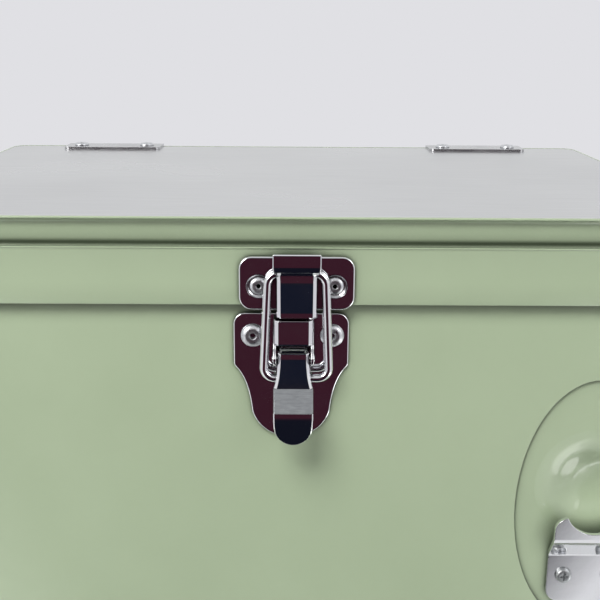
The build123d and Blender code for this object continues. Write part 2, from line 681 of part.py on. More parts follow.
with BuildPart() as latch_base:
    with BuildSketch(front(0, LATCH_BASE_X)):
        add(latch_base_outline())
    extrude(amount=PLATE, taper=25)
    with BuildSketch(section(LATCH_X)):
        with BuildLine():
            Polyline(
                (PLATE / 2, WEB_BOTTOM - 8),
                (PIVOT_U - 2, WEB_BOTTOM - 8),
                (PIVOT_U - 2, PIVOT_Z),
                (PIVOT_U + LOBE, PIVOT_Z),
                (EAR_FRONT, PIVOT_Z + 4),
                (EAR_FRONT, EAR_TOP),
                (PLATE / 2, EAR_TOP),
                close=True,
            )
        make_face()
        with Locations((PIVOT_U, PIVOT_Z)):
            Circle(LOBE)
    extrude(amount=EAR_OUTSIDE, both=True)
    web_edges = latch_base.edges().filter_by(Axis.Z).group_by(Axis.Y)[0]
    fillet(web_edges, 1.7)
    with BuildSketch(section(LATCH_X)):
        with Locations(((EAR_FRONT - PLATE) / 2 + PLATE / 2 + 0.3, (WEB_BOTTOM + EAR_TOP) / 2)):
            Rectangle(EAR_FRONT - 2 * PLATE - 0.6, 60)
        with Locations((EAR_FRONT, (WEB_BOTTOM - 10 + WEB_BOTTOM) / 2)):
            Rectangle(12, 10)
    extrude(amount=EAR_INSIDE, both=True, mode=Mode.SUBTRACT)
    with BuildSketch(section(LATCH_X)):
        with Locations((PIVOT_U, PIVOT_Z)):
            Circle(HINGE_PIN_RADIUS)
    extrude(amount=EAR_OUTSIDE, both=True, mode=Mode.SUBTRACT)
    with BuildSketch(front(0)):
        with Locations((LATCH_RIVETS_X, LATCH_RIVET_Z)):
            with GridLocations(2 * LATCH_RIVET_X, 0, 2, 1):
                Circle(RIVET_SHANK)
    extrude(amount=PLATE, mode=Mode.SUBTRACT)
latch_base.part.label = "latch_base"
export_step(latch_base.part, "parts/latch_base.step")

with BuildPart() as latch_base_rivets:
    with Locations(front(PLATE)):
        with Locations((LATCH_RIVETS_X, LATCH_RIVET_Z)):
            with GridLocations(2 * LATCH_RIVET_X, 0, 2, 1):
                add(rivet(*LATCH_RIVET_HEAD, PLATE + SHEET, TAIL_HEIGHT))
latch_base_rivets.part.label = "latch_base_rivets"
export_step(latch_base_rivets.part, "parts/latch_base_rivets.step")

with BuildPart() as latch_pivot_pin:
    with BuildSketch(section(LATCH_X)):
        with Locations((PIVOT_U, PIVOT_Z)):
            Circle(HINGE_PIN_RADIUS)
    extrude(amount=EAR_OUTSIDE + 0.35, both=True)
    pin_ends = latch_pivot_pin.edges().group_by(Axis.X)
    fillet(pin_ends[0] + pin_ends[-1], 0.3)
latch_pivot_pin.part.label = "latch_pivot_pin"
export_step(latch_pivot_pin.part, "parts/latch_pivot_pin.step")

LEVER_NARROW = 6.6
LEVER_WIDE = 8
LEVER_TOP = 252.6
LEVER_TIP = 215.2
TIP_RADIUS = 7.8

with BuildPart() as latch_lever:
    with BuildSketch(section(LATCH_X)):
        with BuildLine():
            Polyline(
                (11.2, LEVER_TOP),
                (11.6, 238),
                (LEVER_TIP_U, 229.3),
                (LEVER_TIP_U, 226.6),
                (16.4, LEVER_TIP),
                (15.2, LEVER_TIP + 0.2),
                (LEVER_TIP_U - PLATE, 226.7),
                (LEVER_TIP_U - PLATE, 228.9),
                (11.6 - PLATE, 237.5),
                (11.2 - PLATE, LEVER_TOP),
                close=True,
            )
        make_face()
        with BuildLine():
            Polyline(
                (10.4, LEVER_TOP),
                (6.6, LEVER_TOP - 0.4),
                (5.2, 248),
                (4.2, 241),
                (5, 238.2),
                (7.4, 237.5),
                (10.6, 237.5),
                close=True,
            )
        make_face()
    extrude(amount=LEVER_WIDE, both=True)
    with BuildSketch(section(LATCH_X)):
        with BuildLine():
            Polyline(
                (11.2 - PLATE, LEVER_TOP + 1),
                (11.6 - PLATE, 237.4),
                (11.6 - PLATE, 236),
                (0, 236),
                (0, LEVER_TOP + 1),
                close=True,
            )
        make_face()
    extrude(amount=LEVER_NARROW - PLATE, both=True, mode=Mode.SUBTRACT)
    with BuildSketch(front(0, LATCH_X)):
        with BuildLine():
            Line((0, LEVER_TOP), (LEVER_NARROW, LEVER_TOP))
            Line((LEVER_NARROW, LEVER_TOP), (LEVER_NARROW, 246.5))
            ThreePointArc((LEVER_NARROW, 246.5), (7.1, 241.8), (LEVER_WIDE, 238))
            Line((LEVER_WIDE, 238), (TIP_RADIUS, LEVER_TIP + TIP_RADIUS))
            RadiusArc((TIP_RADIUS, LEVER_TIP + TIP_RADIUS), (0, LEVER_TIP), TIP_RADIUS)
            mirror(about=Plane.YZ)
        make_face()
    extrude(amount=LEVER_TIP_U + 2, mode=Mode.INTERSECT)
    with BuildSketch(section(LATCH_X)):
        with Locations((PIVOT_U, PIVOT_Z)):
            Circle(HINGE_PIN_RADIUS + RUNNING)
        with Locations((BAIL_PIVOT_U, BAIL_PIVOT_Z)):
            Circle(WIRE_RADIUS + RUNNING)
    extrude(amount=LEVER_WIDE, both=True, mode=Mode.SUBTRACT)
latch_lever.part.label = "latch_lever"
export_step(latch_lever.part, "parts/latch_lever.step")

BAIL_LENGTH = math.hypot(HOOK_U - BAIL_PIVOT_U, HOOK_Z - BAIL_PIVOT_Z)
BAIL_BOTTOM_HALF = 13.1
BAIL_TOP_HALF = 11.5
BAIL_CORNER = 4.2
bail_origin = section(0).from_local_coords((BAIL_PIVOT_U, BAIL_PIVOT_Z))
bail_up = section(0).from_local_coords((HOOK_U, HOOK_Z)) - bail_origin
bail_plane = Plane(origin=bail_origin, x_dir=(1, 0, 0), z_dir=Vector(1, 0, 0).cross(bail_up))

with BuildPart() as latch_bail:
    for hand in (-1, 1):
        with BuildLine(bail_plane) as bail_path:
            FilletPolyline(
                (0, 0),
                (hand * BAIL_BOTTOM_HALF, 0),
                (hand * BAIL_TOP_HALF, BAIL_LENGTH),
                (0, BAIL_LENGTH),
                radius=BAIL_CORNER,
            )
        with BuildSketch(Plane(origin=bail_origin, z_dir=(hand, 0, 0))):
            Circle(WIRE_RADIUS)
        sweep(path=bail_path.line)
latch_bail.part.label = "latch_bail"
export_step(latch_bail.part, "parts/latch_bail.step")

# ---------------------------------------------------------------- hinges
LEAF_BACK = SKIRT_DEPTH / 2 + LEAF
BODY_LEAF_BOTTOM = 237


def hinge_ring():
    """Outline of a hinge knuckle, round the barrel's axis."""
    with BuildSketch() as ring:
        with Locations((BARREL_Y, BARREL_Z)):
            Circle(BARREL_RADIUS)
    return ring.sketch


def hinge_lid_leaf(across):
    """Angle leaf that wraps the lid's back top edge and ends in two knuckles."""
    with BuildPart() as leaf:
        with BuildSketch(back_section(across)):
            with BuildLine():
                Polyline(
                    (LEAF_BACK - TOP_FLANGE - LEAF, LID_TOP),
                    (LEAF_BACK - LEAF, LID_TOP),
                    (LEAF_BACK - LEAF, BARREL_Z),
                    (LEAF_BACK, BARREL_Z),
                    (LEAF_BACK, LID_TOP + LEAF),
                    (LEAF_BACK - TOP_FLANGE - LEAF, LID_TOP + LEAF),
                    close=True,
                )
            make_face()
            add(hinge_ring())
        extrude(amount=HINGE_WIDTH / 2, both=True)
        corner = leaf.edges().filter_by(Axis.X).sort_by(lambda edge: -edge.center().Y - edge.center().Z)[0]
        fillet(corner, 1.4)
        tips = leaf.edges().filter_by(Axis.Z).group_by(Axis.Y)[0]
        fillet(tips, 3)
        with BuildSketch(back_section(across)):
            with Locations((BARREL_Y, BARREL_Z)):
                Rectangle(2 * BARREL_RADIUS + 0.4, 2 * BARREL_RADIUS + 1.2)
        extrude(amount=KNUCKLE_HALF + KNUCKLE_GAP, both=True, mode=Mode.SUBTRACT)
        with BuildSketch(back_section(across)):
            with Locations((BARREL_Y, BARREL_Z)):
                Circle(HINGE_PIN_RADIUS + RUNNING)
        extrude(amount=HINGE_WIDTH, both=True, mode=Mode.SUBTRACT)
        with BuildSketch(level(LID_TOP)):
            with Locations((across, LID_RIVET_Y)):
                with GridLocations(2 * HINGE_RIVET_X, 0, 2, 1):
                    Circle(RIVET_SHANK)
        extrude(amount=LEAF, mode=Mode.SUBTRACT)
    return leaf.part


def hinge_body_leaf(across):
    """Flat leaf on the body's back, with a jog out to one middle knuckle."""
    with BuildPart() as leaf:
        with BuildSketch(back(0)):
            with Locations((-across, (BARREL_Z - BARREL_RADIUS + BODY_LEAF_BOTTOM) / 2)):
                RectangleRounded(HINGE_WIDTH, BARREL_Z - BARREL_RADIUS - BODY_LEAF_BOTTOM, 3)
        extrude(amount=LEAF)
        with BuildSketch(back_section(across)):
            add(hinge_ring())
            with BuildLine():
                Polyline(
                    (BODY_DEPTH / 2, BARREL_Z - BARREL_RADIUS - 3),
                    (BODY_DEPTH / 2 + LEAF, BARREL_Z - BARREL_RADIUS - 3),
                    (BODY_DEPTH / 2 + LEAF + 1, BARREL_Z - BARREL_RADIUS),
                    (BARREL_Y, BARREL_Z - BARREL_RADIUS),
                    (BARREL_Y, BARREL_Z - BARREL_RADIUS + LEAF),
                    (BODY_DEPTH / 2, BARREL_Z - BARREL_RADIUS + LEAF),
                    close=True,
                )
            make_face()
        extrude(amount=KNUCKLE_HALF, both=True)
        with BuildSketch(back_section(across)):
            with Locations((BARREL_Y, BARREL_Z)):
                Circle(HINGE_PIN_RADIUS + RUNNING)
        extrude(amount=HINGE_WIDTH, both=True, mode=Mode.SUBTRACT)
        with BuildSketch(back(0)):
            with Locations((-across, HINGE_BODY_RIVET_Z)):
                with GridLocations(2 * HINGE_RIVET_X, 0, 2, 1):
                    Circle(RIVET_SHANK)
        extrude(amount=LEAF, mode=Mode.SUBTRACT)
    return leaf.part


def hinge_pin(across):
    """Pin through all three knuckles, with a flat head at each end."""
    with BuildPart() as pin:
        with BuildSketch(back_section(across)):
            with Locations((BARREL_Y, BARREL_Z)):
                Circle(HINGE_PIN_RADIUS)
        extrude(amount=HINGE_WIDTH / 2 + 0.2, both=True)
        for end in (-1, 1):
            with BuildSketch(back_section(across + end * (HINGE_WIDTH / 2 + 0.2))):
                with Locations((BARREL_Y, BARREL_Z)):
                    Circle(2.4)
            extrude(amount=end * 1)
    return pin.part


for name, across in (("left", -HINGE_X), ("right", HINGE_X)):
    lid_leaf = hinge_lid_leaf(across)
    lid_leaf.label = f"hinge_lid_leaf_{name}"
    export_step(lid_leaf, f"parts/hinge_lid_leaf_{name}.step")
    body_leaf = hinge_body_leaf(across)
    body_leaf.label = f"hinge_body_leaf_{name}"
    export_step(body_leaf, f"parts/hinge_body_leaf_{name}.step")
    pin = hinge_pin(across)
    pin.label = f"hinge_pin_{name}"
    export_step(pin, f"parts/hinge_pin_{name}.step")

with BuildPart() as hinge_lid_rivets:
    for hinge in (-HINGE_X, HINGE_X):
        with Locations(level(LID_TOP + LEAF)):
            with Locations((hinge, LID_RIVET_Y)):
                with GridLocations(2 * HINGE_RIVET_X, 0, 2, 1):
                    add(rivet(*HINGE_RIVET_HEAD, LEAF + 2 * SHEET, TAIL_HEIGHT))
hinge_lid_rivets.part.label = "hinge_lid_rivets"
export_step(hinge_lid_rivets.part, "parts/hinge_lid_rivets.step")

with BuildPart() as hinge_body_rivets:
    for hinge in (-HINGE_X, HINGE_X):
        with Locations(back(LEAF)):
            with Locations((hinge, HINGE_BODY_RIVET_Z)):
                with GridLocations(2 * HINGE_RIVET_X, 0, 2, 1):
                    add(rivet(*HINGE_RIVET_HEAD, LEAF + SHEET, TAIL_HEIGHT))
hinge_body_rivets.part.label = "hinge_body_rivets"
export_step(hinge_body_rivets.part, "parts/hinge_body_rivets.step")

# ---------------------------------------------------------------- side handles
BRACKET_HALF = 44
BRACKET_HEIGHT = 24
SADDLE_Y = 37.5
SADDLE_WIDTH = 6
SADDLE_RADIUS = 5.4
HANDLE_END = 33.5
HANDLE_CORNER = 7


def handle_bracket(hand):
    """Backing plate with two saddles that hold the ends of one handle."""
    with BuildPart() as bracket:
        with BuildSketch(side(hand, 0)):
            with Locations((0, HANDLE_Z)):
                RectangleRounded(2 * BRACKET_HALF, BRACKET_HEIGHT, 5)
        extrude(amount=LEAF)
        chamfer(bracket.faces().sort_by(Axis.X)[-1 if hand > 0 else 0].edges(), 0.6)
        for end in (-1, 1):
            with BuildSketch(Plane(
                origin=(hand * BODY_WIDTH / 2, CENTRE_Y + end * SADDLE_Y, HANDLE_Z),
                x_dir=(hand, 0, 0),
                z_dir=(0, -hand, 0),
            )):
                with Locations((HANDLE_STANDOFF, 0)):
                    Circle(SADDLE_RADIUS)
                with Locations((HANDLE_STANDOFF / 2 + 0.25, 0)):
                    Rectangle(HANDLE_STANDOFF - 0.5, 2 * SADDLE_RADIUS)
                with Locations((HANDLE_STANDOFF, 0)):
                    Circle(HANDLE_RADIUS + RUNNING, mode=Mode.SUBTRACT)
            extrude(amount=SADDLE_WIDTH / 2, both=True)
        with BuildSketch(side(hand, 0)):
            with Locations((0, HANDLE_Z)):
                with GridLocations(2 * HANDLE_RIVET_Y, 0, 2, 1):
                    Circle(RIVET_SHANK)
        extrude(amount=LEAF, mode=Mode.SUBTRACT)
    return bracket.part


def drop_handle(hand):
    """Bent rod handle that hangs from its two turned-in ends."""
    with BuildPart() as handle:
        with BuildLine(side(hand, HANDLE_STANDOFF)) as path:
            FilletPolyline(
                (-HANDLE_END, HANDLE_Z),
                (-HANDLE_HALF, HANDLE_Z),
                (-HANDLE_HALF, HANDLE_Z - HANDLE_DROP),
                (HANDLE_HALF, HANDLE_Z - HANDLE_DROP),
                (HANDLE_HALF, HANDLE_Z),
                (HANDLE_END, HANDLE_Z),
                radius=HANDLE_CORNER,
            )
        with BuildSketch(Plane(origin=path.line @ 0, z_dir=path.line % 0)):
            Circle(HANDLE_RADIUS)
        sweep(path=path.line)
    return handle.part


for name, hand in (("left", -1), ("right", 1)):
    bracket = handle_bracket(hand)
    bracket.label = f"handle_bracket_{name}"
    export_step(bracket, f"parts/handle_bracket_{name}.step")
    handle = drop_handle(hand)
    handle.label = f"handle_{name}"
    export_step(handle, f"parts/handle_{name}.step")

with BuildPart() as handle_rivets:
    for hand in (-1, 1):
        with Locations(side(hand, LEAF)):
            with Locations((0, HANDLE_Z)):
                with GridLocations(2 * HANDLE_RIVET_Y, 0, 2, 1):
                    add(rivet(*HANDLE_RIVET_HEAD, LEAF + SHEET, TAIL_HEIGHT))
handle_rivets.part.label = "handle_rivets"
export_step(handle_rivets.part, "parts/handle_rivets.step")

# ---------------------------------------------------------------- bottle opener, on the pad
OPENER_BOTTOM = 135
OPENER_TOP = 179
OPENER_HALF = 17
OPENER_PLATE = 2
OPENER_CORNER = 6
MOUTH_RADIUS = 13
MOUTH_RISE = 5
OPENER_HEAD_RADIUS = 3.4
OPENER_HEAD_HEIGHT = 2

with BuildPart() as bottle_opener:
    with BuildSketch(section(PAD_X)):
        with BuildLine():
            FilletPolyline(
                (OPENER_PLATE / 2 - PAD_DEPTH, OPENER_BOTTOM),
                (OPENER_PLATE / 2 - PAD_DEPTH, 158),
                (7, 168),
                (7.6, OPENER_TOP),
                radius=2.5,
            )
            offset(amount=OPENER_PLATE / 2, side=Side.BOTH)
        make_face()
    extrude(amount=OPENER_HALF, both=True)
    with BuildSketch(front(0)):
        with Locations((PAD_X, (OPENER_TOP + OPENER_BOTTOM) / 2)):
            RectangleRounded(2 * OPENER_HALF, OPENER_TOP - OPENER_BOTTOM, OPENER_CORNER)
        with Locations((PAD_X, OPENER_TOP + MOUTH_RISE)):
            Circle(MOUTH_RADIUS, mode=Mode.SUBTRACT)
    extrude(amount=OPENER_HALF, both=True, mode=Mode.INTERSECT)
    with BuildSketch(front(-PAD_DEPTH)):
        with Locations((PAD_X, OPENER_SCREW_Z)):
            with GridLocations(2 * OPENER_SCREW_X, 0, 2, 1):
                Circle(OPENER_SCREW_RADIUS)
    extrude(amount=OPENER_PLATE, mode=Mode.SUBTRACT)
bottle_opener.part.label = "bottle_opener"
export_step(bottle_opener.part, "parts/bottle_opener.step")

with BuildPart() as opener_screws:
    with BuildSketch(front(OPENER_PLATE - PAD_DEPTH)):
        with Locations((PAD_X, OPENER_SCREW_Z)):
            with GridLocations(2 * OPENER_SCREW_X, 0, 2, 1):
                Circle(OPENER_HEAD_RADIUS)
    extrude(amount=OPENER_HEAD_HEIGHT)
    fillet(opener_screws.faces().filter_by(Axis.Y).group_by(Axis.Y)[0].edges(), 1.2)
    with BuildSketch(front(OPENER_PLATE - PAD_DEPTH + OPENER_HEAD_HEIGHT / 2)):
        with Locations((PAD_X, OPENER_SCREW_Z)):
            with GridLocations(2 * OPENER_SCREW_X, 0, 2, 1):
                Rectangle(SLOT_LENGTH - 1, SLOT_WIDTH)
                Rectangle(SLOT_WIDTH, SLOT_LENGTH - 1)
    extrude(amount=OPENER_HEAD_HEIGHT / 2, mode=Mode.SUBTRACT)
    with BuildSketch(front(OPENER_PLATE - PAD_DEPTH)):
        with Locations((PAD_X, OPENER_SCREW_Z)):
            with GridLocations(2 * OPENER_SCREW_X, 0, 2, 1):
                Circle(OPENER_SCREW_RADIUS)
    extrude(amount=-(OPENER_PLATE + SHEET + SCREW_LENGTH / 2))
opener_screws.part.label = "opener_screws"
export_step(opener_screws.part, "parts/opener_screws.step")
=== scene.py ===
import json
import math

import bmesh
import bpy
from mathutils import Matrix, Vector


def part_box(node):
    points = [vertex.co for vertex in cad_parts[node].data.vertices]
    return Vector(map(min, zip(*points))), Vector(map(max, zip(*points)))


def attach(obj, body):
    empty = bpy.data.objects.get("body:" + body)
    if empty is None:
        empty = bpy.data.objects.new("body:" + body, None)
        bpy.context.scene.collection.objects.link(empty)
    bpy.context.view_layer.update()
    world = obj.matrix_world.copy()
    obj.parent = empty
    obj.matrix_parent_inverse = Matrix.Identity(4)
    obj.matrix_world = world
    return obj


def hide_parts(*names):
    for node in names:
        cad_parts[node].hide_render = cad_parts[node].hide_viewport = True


# Looks for the painted steel cooler chest. Metres throughout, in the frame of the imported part.

MM = 0.001
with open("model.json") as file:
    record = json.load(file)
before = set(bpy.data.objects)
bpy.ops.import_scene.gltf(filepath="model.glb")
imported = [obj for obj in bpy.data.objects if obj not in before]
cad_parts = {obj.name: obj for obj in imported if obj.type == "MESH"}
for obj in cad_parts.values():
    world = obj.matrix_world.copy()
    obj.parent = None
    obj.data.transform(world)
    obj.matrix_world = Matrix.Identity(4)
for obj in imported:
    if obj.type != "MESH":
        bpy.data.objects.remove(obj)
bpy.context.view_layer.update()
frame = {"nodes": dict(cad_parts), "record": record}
nodes = frame["nodes"]

# Places that the frame gives
shell_low, shell_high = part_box("body_shell")
skirt_low, skirt_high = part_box("lid_shell")
plate_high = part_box("lid_top_plate")[1]
BODY_FRONT = shell_low.y
CENTRE_Y = (shell_low.y + shell_high.y) / 2


# ---------------------------------------------------------------- node helpers
class Graph:
    """Short ways to add and join shader nodes."""

    def __init__(self, name):
        self.material = bpy.data.materials.new(name)
        self.material.use_nodes = True
        self.tree = self.material.node_tree
        self.tree.nodes.clear()
        self.out = self.add("ShaderNodeOutputMaterial")
        self.surface = self.add("ShaderNodeBsdfPrincipled")
        self.join(self.surface.outputs[0], self.out.inputs["Surface"])
        self.place = self.add("ShaderNodeTexCoord").outputs["Object"]

    @classmethod
    def of_tree(cls, tree):
        """The same helpers on an emptied tree that is not a material's."""
        graph = cls.__new__(cls)
        graph.tree = tree
        tree.nodes.clear()
        return graph

    def add(self, kind, **values):
        node = self.tree.nodes.new(kind)
        for key, value in values.items():
            setattr(node, key, value)
        return node

    def join(self, source, target):
        self.tree.links.new(source, target)

    def set(self, **values):
        """Sets inputs of the main shader. An underscore in a name stands for a space."""
        for key, value in values.items():
            socket = self.surface.inputs[key.replace("_", " ")]
            if hasattr(value, "is_output"):
                self.join(value, socket)
            else:
                socket.default_value = value

    def scaled(self, x, y, z):
        """The object's coordinates, stretched."""
        mapping = self.add("ShaderNodeMapping")
        mapping.inputs["Scale"].default_value = (x, y, z)
        self.join(self.place, mapping.inputs["Vector"])
        return mapping.outputs["Vector"]

    def noise(self, scale, detail=3.0, vector=None, roughness=0.5):
        node = self.add("ShaderNodeTexNoise")
        node.inputs["Scale"].default_value = scale
        node.inputs["Detail"].default_value = detail
        node.inputs["Roughness"].default_value = roughness
        self.join(vector or self.place, node.inputs["Vector"])
        return node.outputs["Fac"]

    def spread(self, source, low, high, start=0.3, end=0.7):
        """Maps start..end of source to low..high, clamped."""
        node = self.add("ShaderNodeMapRange")
        node.inputs["From Min"].default_value = start
        node.inputs["From Max"].default_value = end
        node.inputs["To Min"].default_value = low
        node.inputs["To Max"].default_value = high
        self.join(source, node.inputs["Value"])
        return node.outputs["Result"]

    def math(self, operation, first, second=None):
        """One sum on values or sockets."""
        node = self.add("ShaderNodeMath", operation=operation)
        for socket, value in zip(node.inputs, (first, second)):
            if hasattr(value, "is_output"):
                self.join(value, socket)
            elif value is not None:
                socket.default_value = value
        return node.outputs[0]

    def blend(self, factor, first, second):
        """Colour between first and second."""
        node = self.add("ShaderNodeMix", data_type="RGBA")
        for socket, value in ((node.inputs[0], factor), (node.inputs[6], first), (node.inputs[7], second)):
            if hasattr(value, "is_output"):
                self.join(value, socket)
            else:
                socket.default_value = value
        return node.outputs[2]

    def mixed(self, factor, first, second):
        """Shader between two others."""
        node = self.add("ShaderNodeMixShader")
        self.join(factor, node.inputs[0])
        self.join(first.outputs[0], node.inputs[1])
        self.join(second.outputs[0], node.inputs[2])
        return node

    def relief(self, height, depth, edge=0.0):
        """Bump of this depth in metres, on edges rounded by this radius in metres."""
        bump = self.add("ShaderNodeBump")
        bump.inputs["Distance"].default_value = depth
        bump.inputs["Strength"].default_value = 1.0
        self.join(height, bump.inputs["Height"])
        if edge:
            rounded = self.add("ShaderNodeBevel", samples=6)
            rounded.inputs["Radius"].default_value = edge
            self.join(rounded.outputs["Normal"], bump.inputs["Normal"])
        return bump.outputs["Normal"]


def linear(red, green, blue):
    """Linear colour of an sRGB colour given as 0..255."""
    parts = []
    for value in (red, green, blue):
        share = value / 255
        parts.append(share / 12.92 if share <= 0.04045 else ((share + 0.055) / 1.055) ** 2.4)
    return (*parts, 1.0)


# ---------------------------------------------------------------- materials
def green_paint():
    """Semi-gloss baked enamel, with a faint orange peel, slight unevenness in colour and painted shade in
    corners, grooves and under overhangs.
    """
    g = Graph("green_paint")
    tone = g.spread(g.noise(14, 4), 0, 1)
    colour = g.blend(tone, linear(163, 178, 147), linear(168, 183, 152))
    # Painted shade: ambient occlusion darkens the colour to a dark green in corners, in the groove and under
    # the skirt, where shadow falls
    corner = g.add("ShaderNodeAmbientOcclusion", samples=8)
    corner.inputs["Distance"].default_value = 10 * MM
    peel = g.noise(900, 2)
    g.set(
        Base_Color=g.blend(g.spread(corner.outputs["AO"], 0, 1, 0.42, 0.99), linear(62, 71, 54), colour),
        Roughness=g.spread(g.noise(60, 5), 0.30, 0.36),
        IOR=1.5,
        Coat_Weight=0.8,
        Coat_Roughness=0.05,
        Normal=g.relief(peel, 0.000012, 0.0004),
    )
    return g.material


def satin_steel():
    """Stainless sheet with a fine grain that runs across the lid."""
    g = Graph("satin_steel")
    grain = g.noise(1, 6, g.scaled(30, 4200, 4200))
    smear = g.noise(9, 4)
    g.set(
        Base_Color=g.blend(g.spread(grain, 0, 1), linear(196, 196, 197), linear(214, 214, 215)),
        Metallic=1.0,
        Roughness=g.spread(smear, 0.26, 0.33),
        Normal=g.relief(grain, 0.000004, 0.0003),
    )
    return g.material


def chrome(name="chrome_plate", edge=0.0005):
    """Bright plating over a stamped blank, with faint pits and handling haze, and painted shade in its
    crevices.
    """
    g = Graph(name)
    haze = g.noise(120, 5)
    pits = g.noise(2600, 2)
    wave = g.noise(220, 2)
    height = g.math("ADD", g.spread(pits, 0, 0.05, 0.62, 0.8), g.spread(wave, 0, 1, 0, 1))
    # Painted shade: ambient occlusion darkens the plating's colour in crevices and in the gaps between parts
    crevice_shade = g.add("ShaderNodeAmbientOcclusion", samples=6)
    crevice_shade.inputs["Distance"].default_value = 3 * MM
    g.set(
        Base_Color=g.blend(
            g.spread(crevice_shade.outputs["AO"], 0, 1, 0.15, 0.75), linear(60, 58, 62), linear(232, 232, 235)
        ),
        Metallic=1.0,
        Roughness=g.spread(haze, 0.035, 0.09),
        Normal=g.relief(height, 0.00001, edge),
    )
    return g.material


def rubbed_chrome():
    """Plating that a thumb has dulled, with fine slanting rub marks."""
    g = Graph("rubbed_chrome")
    rub = g.noise(1, 5, g.scaled(260, 260, 1500))
    g.set(
        Base_Color=g.blend(g.spread(rub, 0, 1, 0.25, 0.75), linear(138, 140, 143), linear(158, 160, 162)),
        Metallic=1.0,
        Roughness=g.spread(g.noise(300, 4), 0.12, 0.2),
        Normal=g.relief(rub, 0.00001),
    )
    return g.material


def rivet_alloy():
    """Satin aluminium with turned rings and small dings, with painted shade down its hole."""
    g = Graph("rivet_alloy")
    # Painted shade: ambient occlusion darkens the colour down the mandrel hole
    hole_shade = g.add("ShaderNodeAmbientOcclusion", samples=6)
    hole_shade.inputs["Distance"].default_value = 1.5 * MM
    alloy = g.blend(g.spread(g.noise(700, 3), 0, 1), linear(196, 197, 200), linear(222, 223, 226))
    g.set(
        Base_Color=g.blend(g.spread(hole_shade.outputs["AO"], 0, 1, 0.3, 0.75), linear(38, 38, 42), alloy),
        Metallic=1.0,
        Roughness=g.spread(g.noise(500, 3), 0.26, 0.4),
        Normal=g.relief(g.noise(1500, 3), 0.00002, 0.0003),
    )
    return g.material


def hinge_steel():
    """Plain bright steel strip with a fine grain."""
    g = Graph("hinge_steel")
    grain = g.noise(1, 5, g.scaled(60, 2600, 2600))
    g.set(
        Base_Color=g.blend(g.spread(grain, 0, 1), linear(178, 178, 180), linear(205, 205, 207)),
        Metallic=1.0,
        Roughness=g.spread(g.noise(80, 4), 0.22, 0.34),
        Normal=g.relief(grain, 0.000006, 0.0004),
    )
    return g.material


def zinc_plate():
    """Zinc plated steel, slightly yellow and mottled."""
    g = Graph("zinc_plate")
    spangle = g.add("ShaderNodeTexVoronoi")
    spangle.inputs["Scale"].default_value = 160
    g.join(g.place, spangle.inputs["Vector"])
    g.set(
        Base_Color=g.blend(spangle.outputs["Distance"], linear(150, 154, 158), linear(196, 198, 196)),
        Metallic=1.0,
        Roughness=g.spread(g.noise(40, 4), 0.3, 0.48),
        Normal=g.relief(g.noise(600, 3), 0.00001, 0.0003),
    )
    return g.material


def foam():
    """Rigid foamed filling, open celled where it is cut."""
    g = Graph("foam")
    cells = g.add("ShaderNodeTexVoronoi")
    cells.inputs["Scale"].default_value = 700
    g.join(g.place, cells.inputs["Vector"])
    g.set(
        Base_Color=g.blend(g.noise(60, 4), linear(228, 214, 168), linear(240, 229, 190)),
        Roughness=0.85,
        Normal=g.relief(cells.outputs["Distance"], 0.0003),
    )
    return g.material


def liner_plastic():
    """Smooth moulded plastic, off white, with a soft sheen and faint scuffs."""
    g = Graph("liner_plastic")
    scuff = g.noise(1, 6, g.scaled(40, 900, 40))
    g.set(
        Base_Color=g.blend(g.spread(g.noise(8, 4), 0, 1), linear(233, 232, 226), linear(240, 239, 234)),
        Roughness=g.spread(scuff, 0.28, 0.42),
        Subsurface_Weight=0.05,
        Subsurface_Scale=0.002,
        Normal=g.relief(g.noise(500, 2), 0.00002, 0.0006),
    )
    return g.material


def black_rubber():
    """Matt rubber with a fine moulded texture and a little dust."""
    g = Graph("black_rubber")
    g.set(
        Base_Color=g.blend(g.spread(g.noise(90, 5), 0, 1), linear(30, 30, 31), linear(48, 47, 46)),
        Roughness=g.spread(g.noise(300, 3), 0.6, 0.8),
        Normal=g.relief(g.noise(1800, 3), 0.00004, 0.0005),
    )
    return g.material


def drain_plastic():
    """Moulded grey plastic of the drain."""
    g = Graph("drain_plastic")
    g.set(
        Base_Color=g.blend(g.spread(g.noise(30, 4), 0, 1), linear(206, 206, 200), linear(216, 216, 211)),
        Roughness=g.spread(g.noise(200, 3), 0.4, 0.52),
        Normal=g.relief(g.noise(900, 2), 0.00003, 0.0004),
    )
    return g.material


SLOT_MATERIALS = {
    "paint": green_paint(),
    "top_sheet": satin_steel(),
    "hardware_chrome": chrome(),
    "rivet_alloy": rivet_alloy(),
    "hinge_steel": hinge_steel(),
    "zinc_steel": zinc_plate(),
    "foam": foam(),
    "liner_plastic": liner_plastic(),
    "rubber": black_rubber(),
    "drain_plastic": drain_plastic(),
}
for part in frame["record"]["subparts"]:
    mesh = nodes[part["node"]].data
    mesh.materials.clear()
    mesh.materials.append(SLOT_MATERIALS[part["material_slot"]])


# ---------------------------------------------------------------- pressed latch pieces
# U is a distance out from the body's front face, in millimetres, and X and Z are millimetres of the frame.
base_low, base_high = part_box("latch_base")
keeper_low, keeper_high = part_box("latch_keeper")
LATCH_X = sum(corner.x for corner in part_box("latch_lever")) / 2 / MM
BASE_X = (base_low.x + base_high.x) / 2 / MM
LEVER_HALF = 8.0
TIP_RADIUS = 7.8
SHEET = 1.1


def spot(x, u, z):
    """Point of the frame, in metres."""
    return Vector((x * MM, BODY_FRONT - u * MM, z * MM))


def finish_piece(piece, body, material, slot, *nodes_it_replaces):
    """Material, smooth faces and body for a new piece."""
    piece.data.materials.append(material)
    for face in piece.data.polygons:
        face.use_smooth = True
    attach(piece, body)
    if nodes_it_replaces:
        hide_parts(*nodes_it_replaces)


def new_piece(name, mesh_data):
    mesh = bpy.data.meshes.new(name)
    mesh_data.to_mesh(mesh)
    mesh_data.free()
    piece = bpy.data.objects.new(name, mesh)
    bpy.context.scene.collection.objects.link(piece)
    return piece


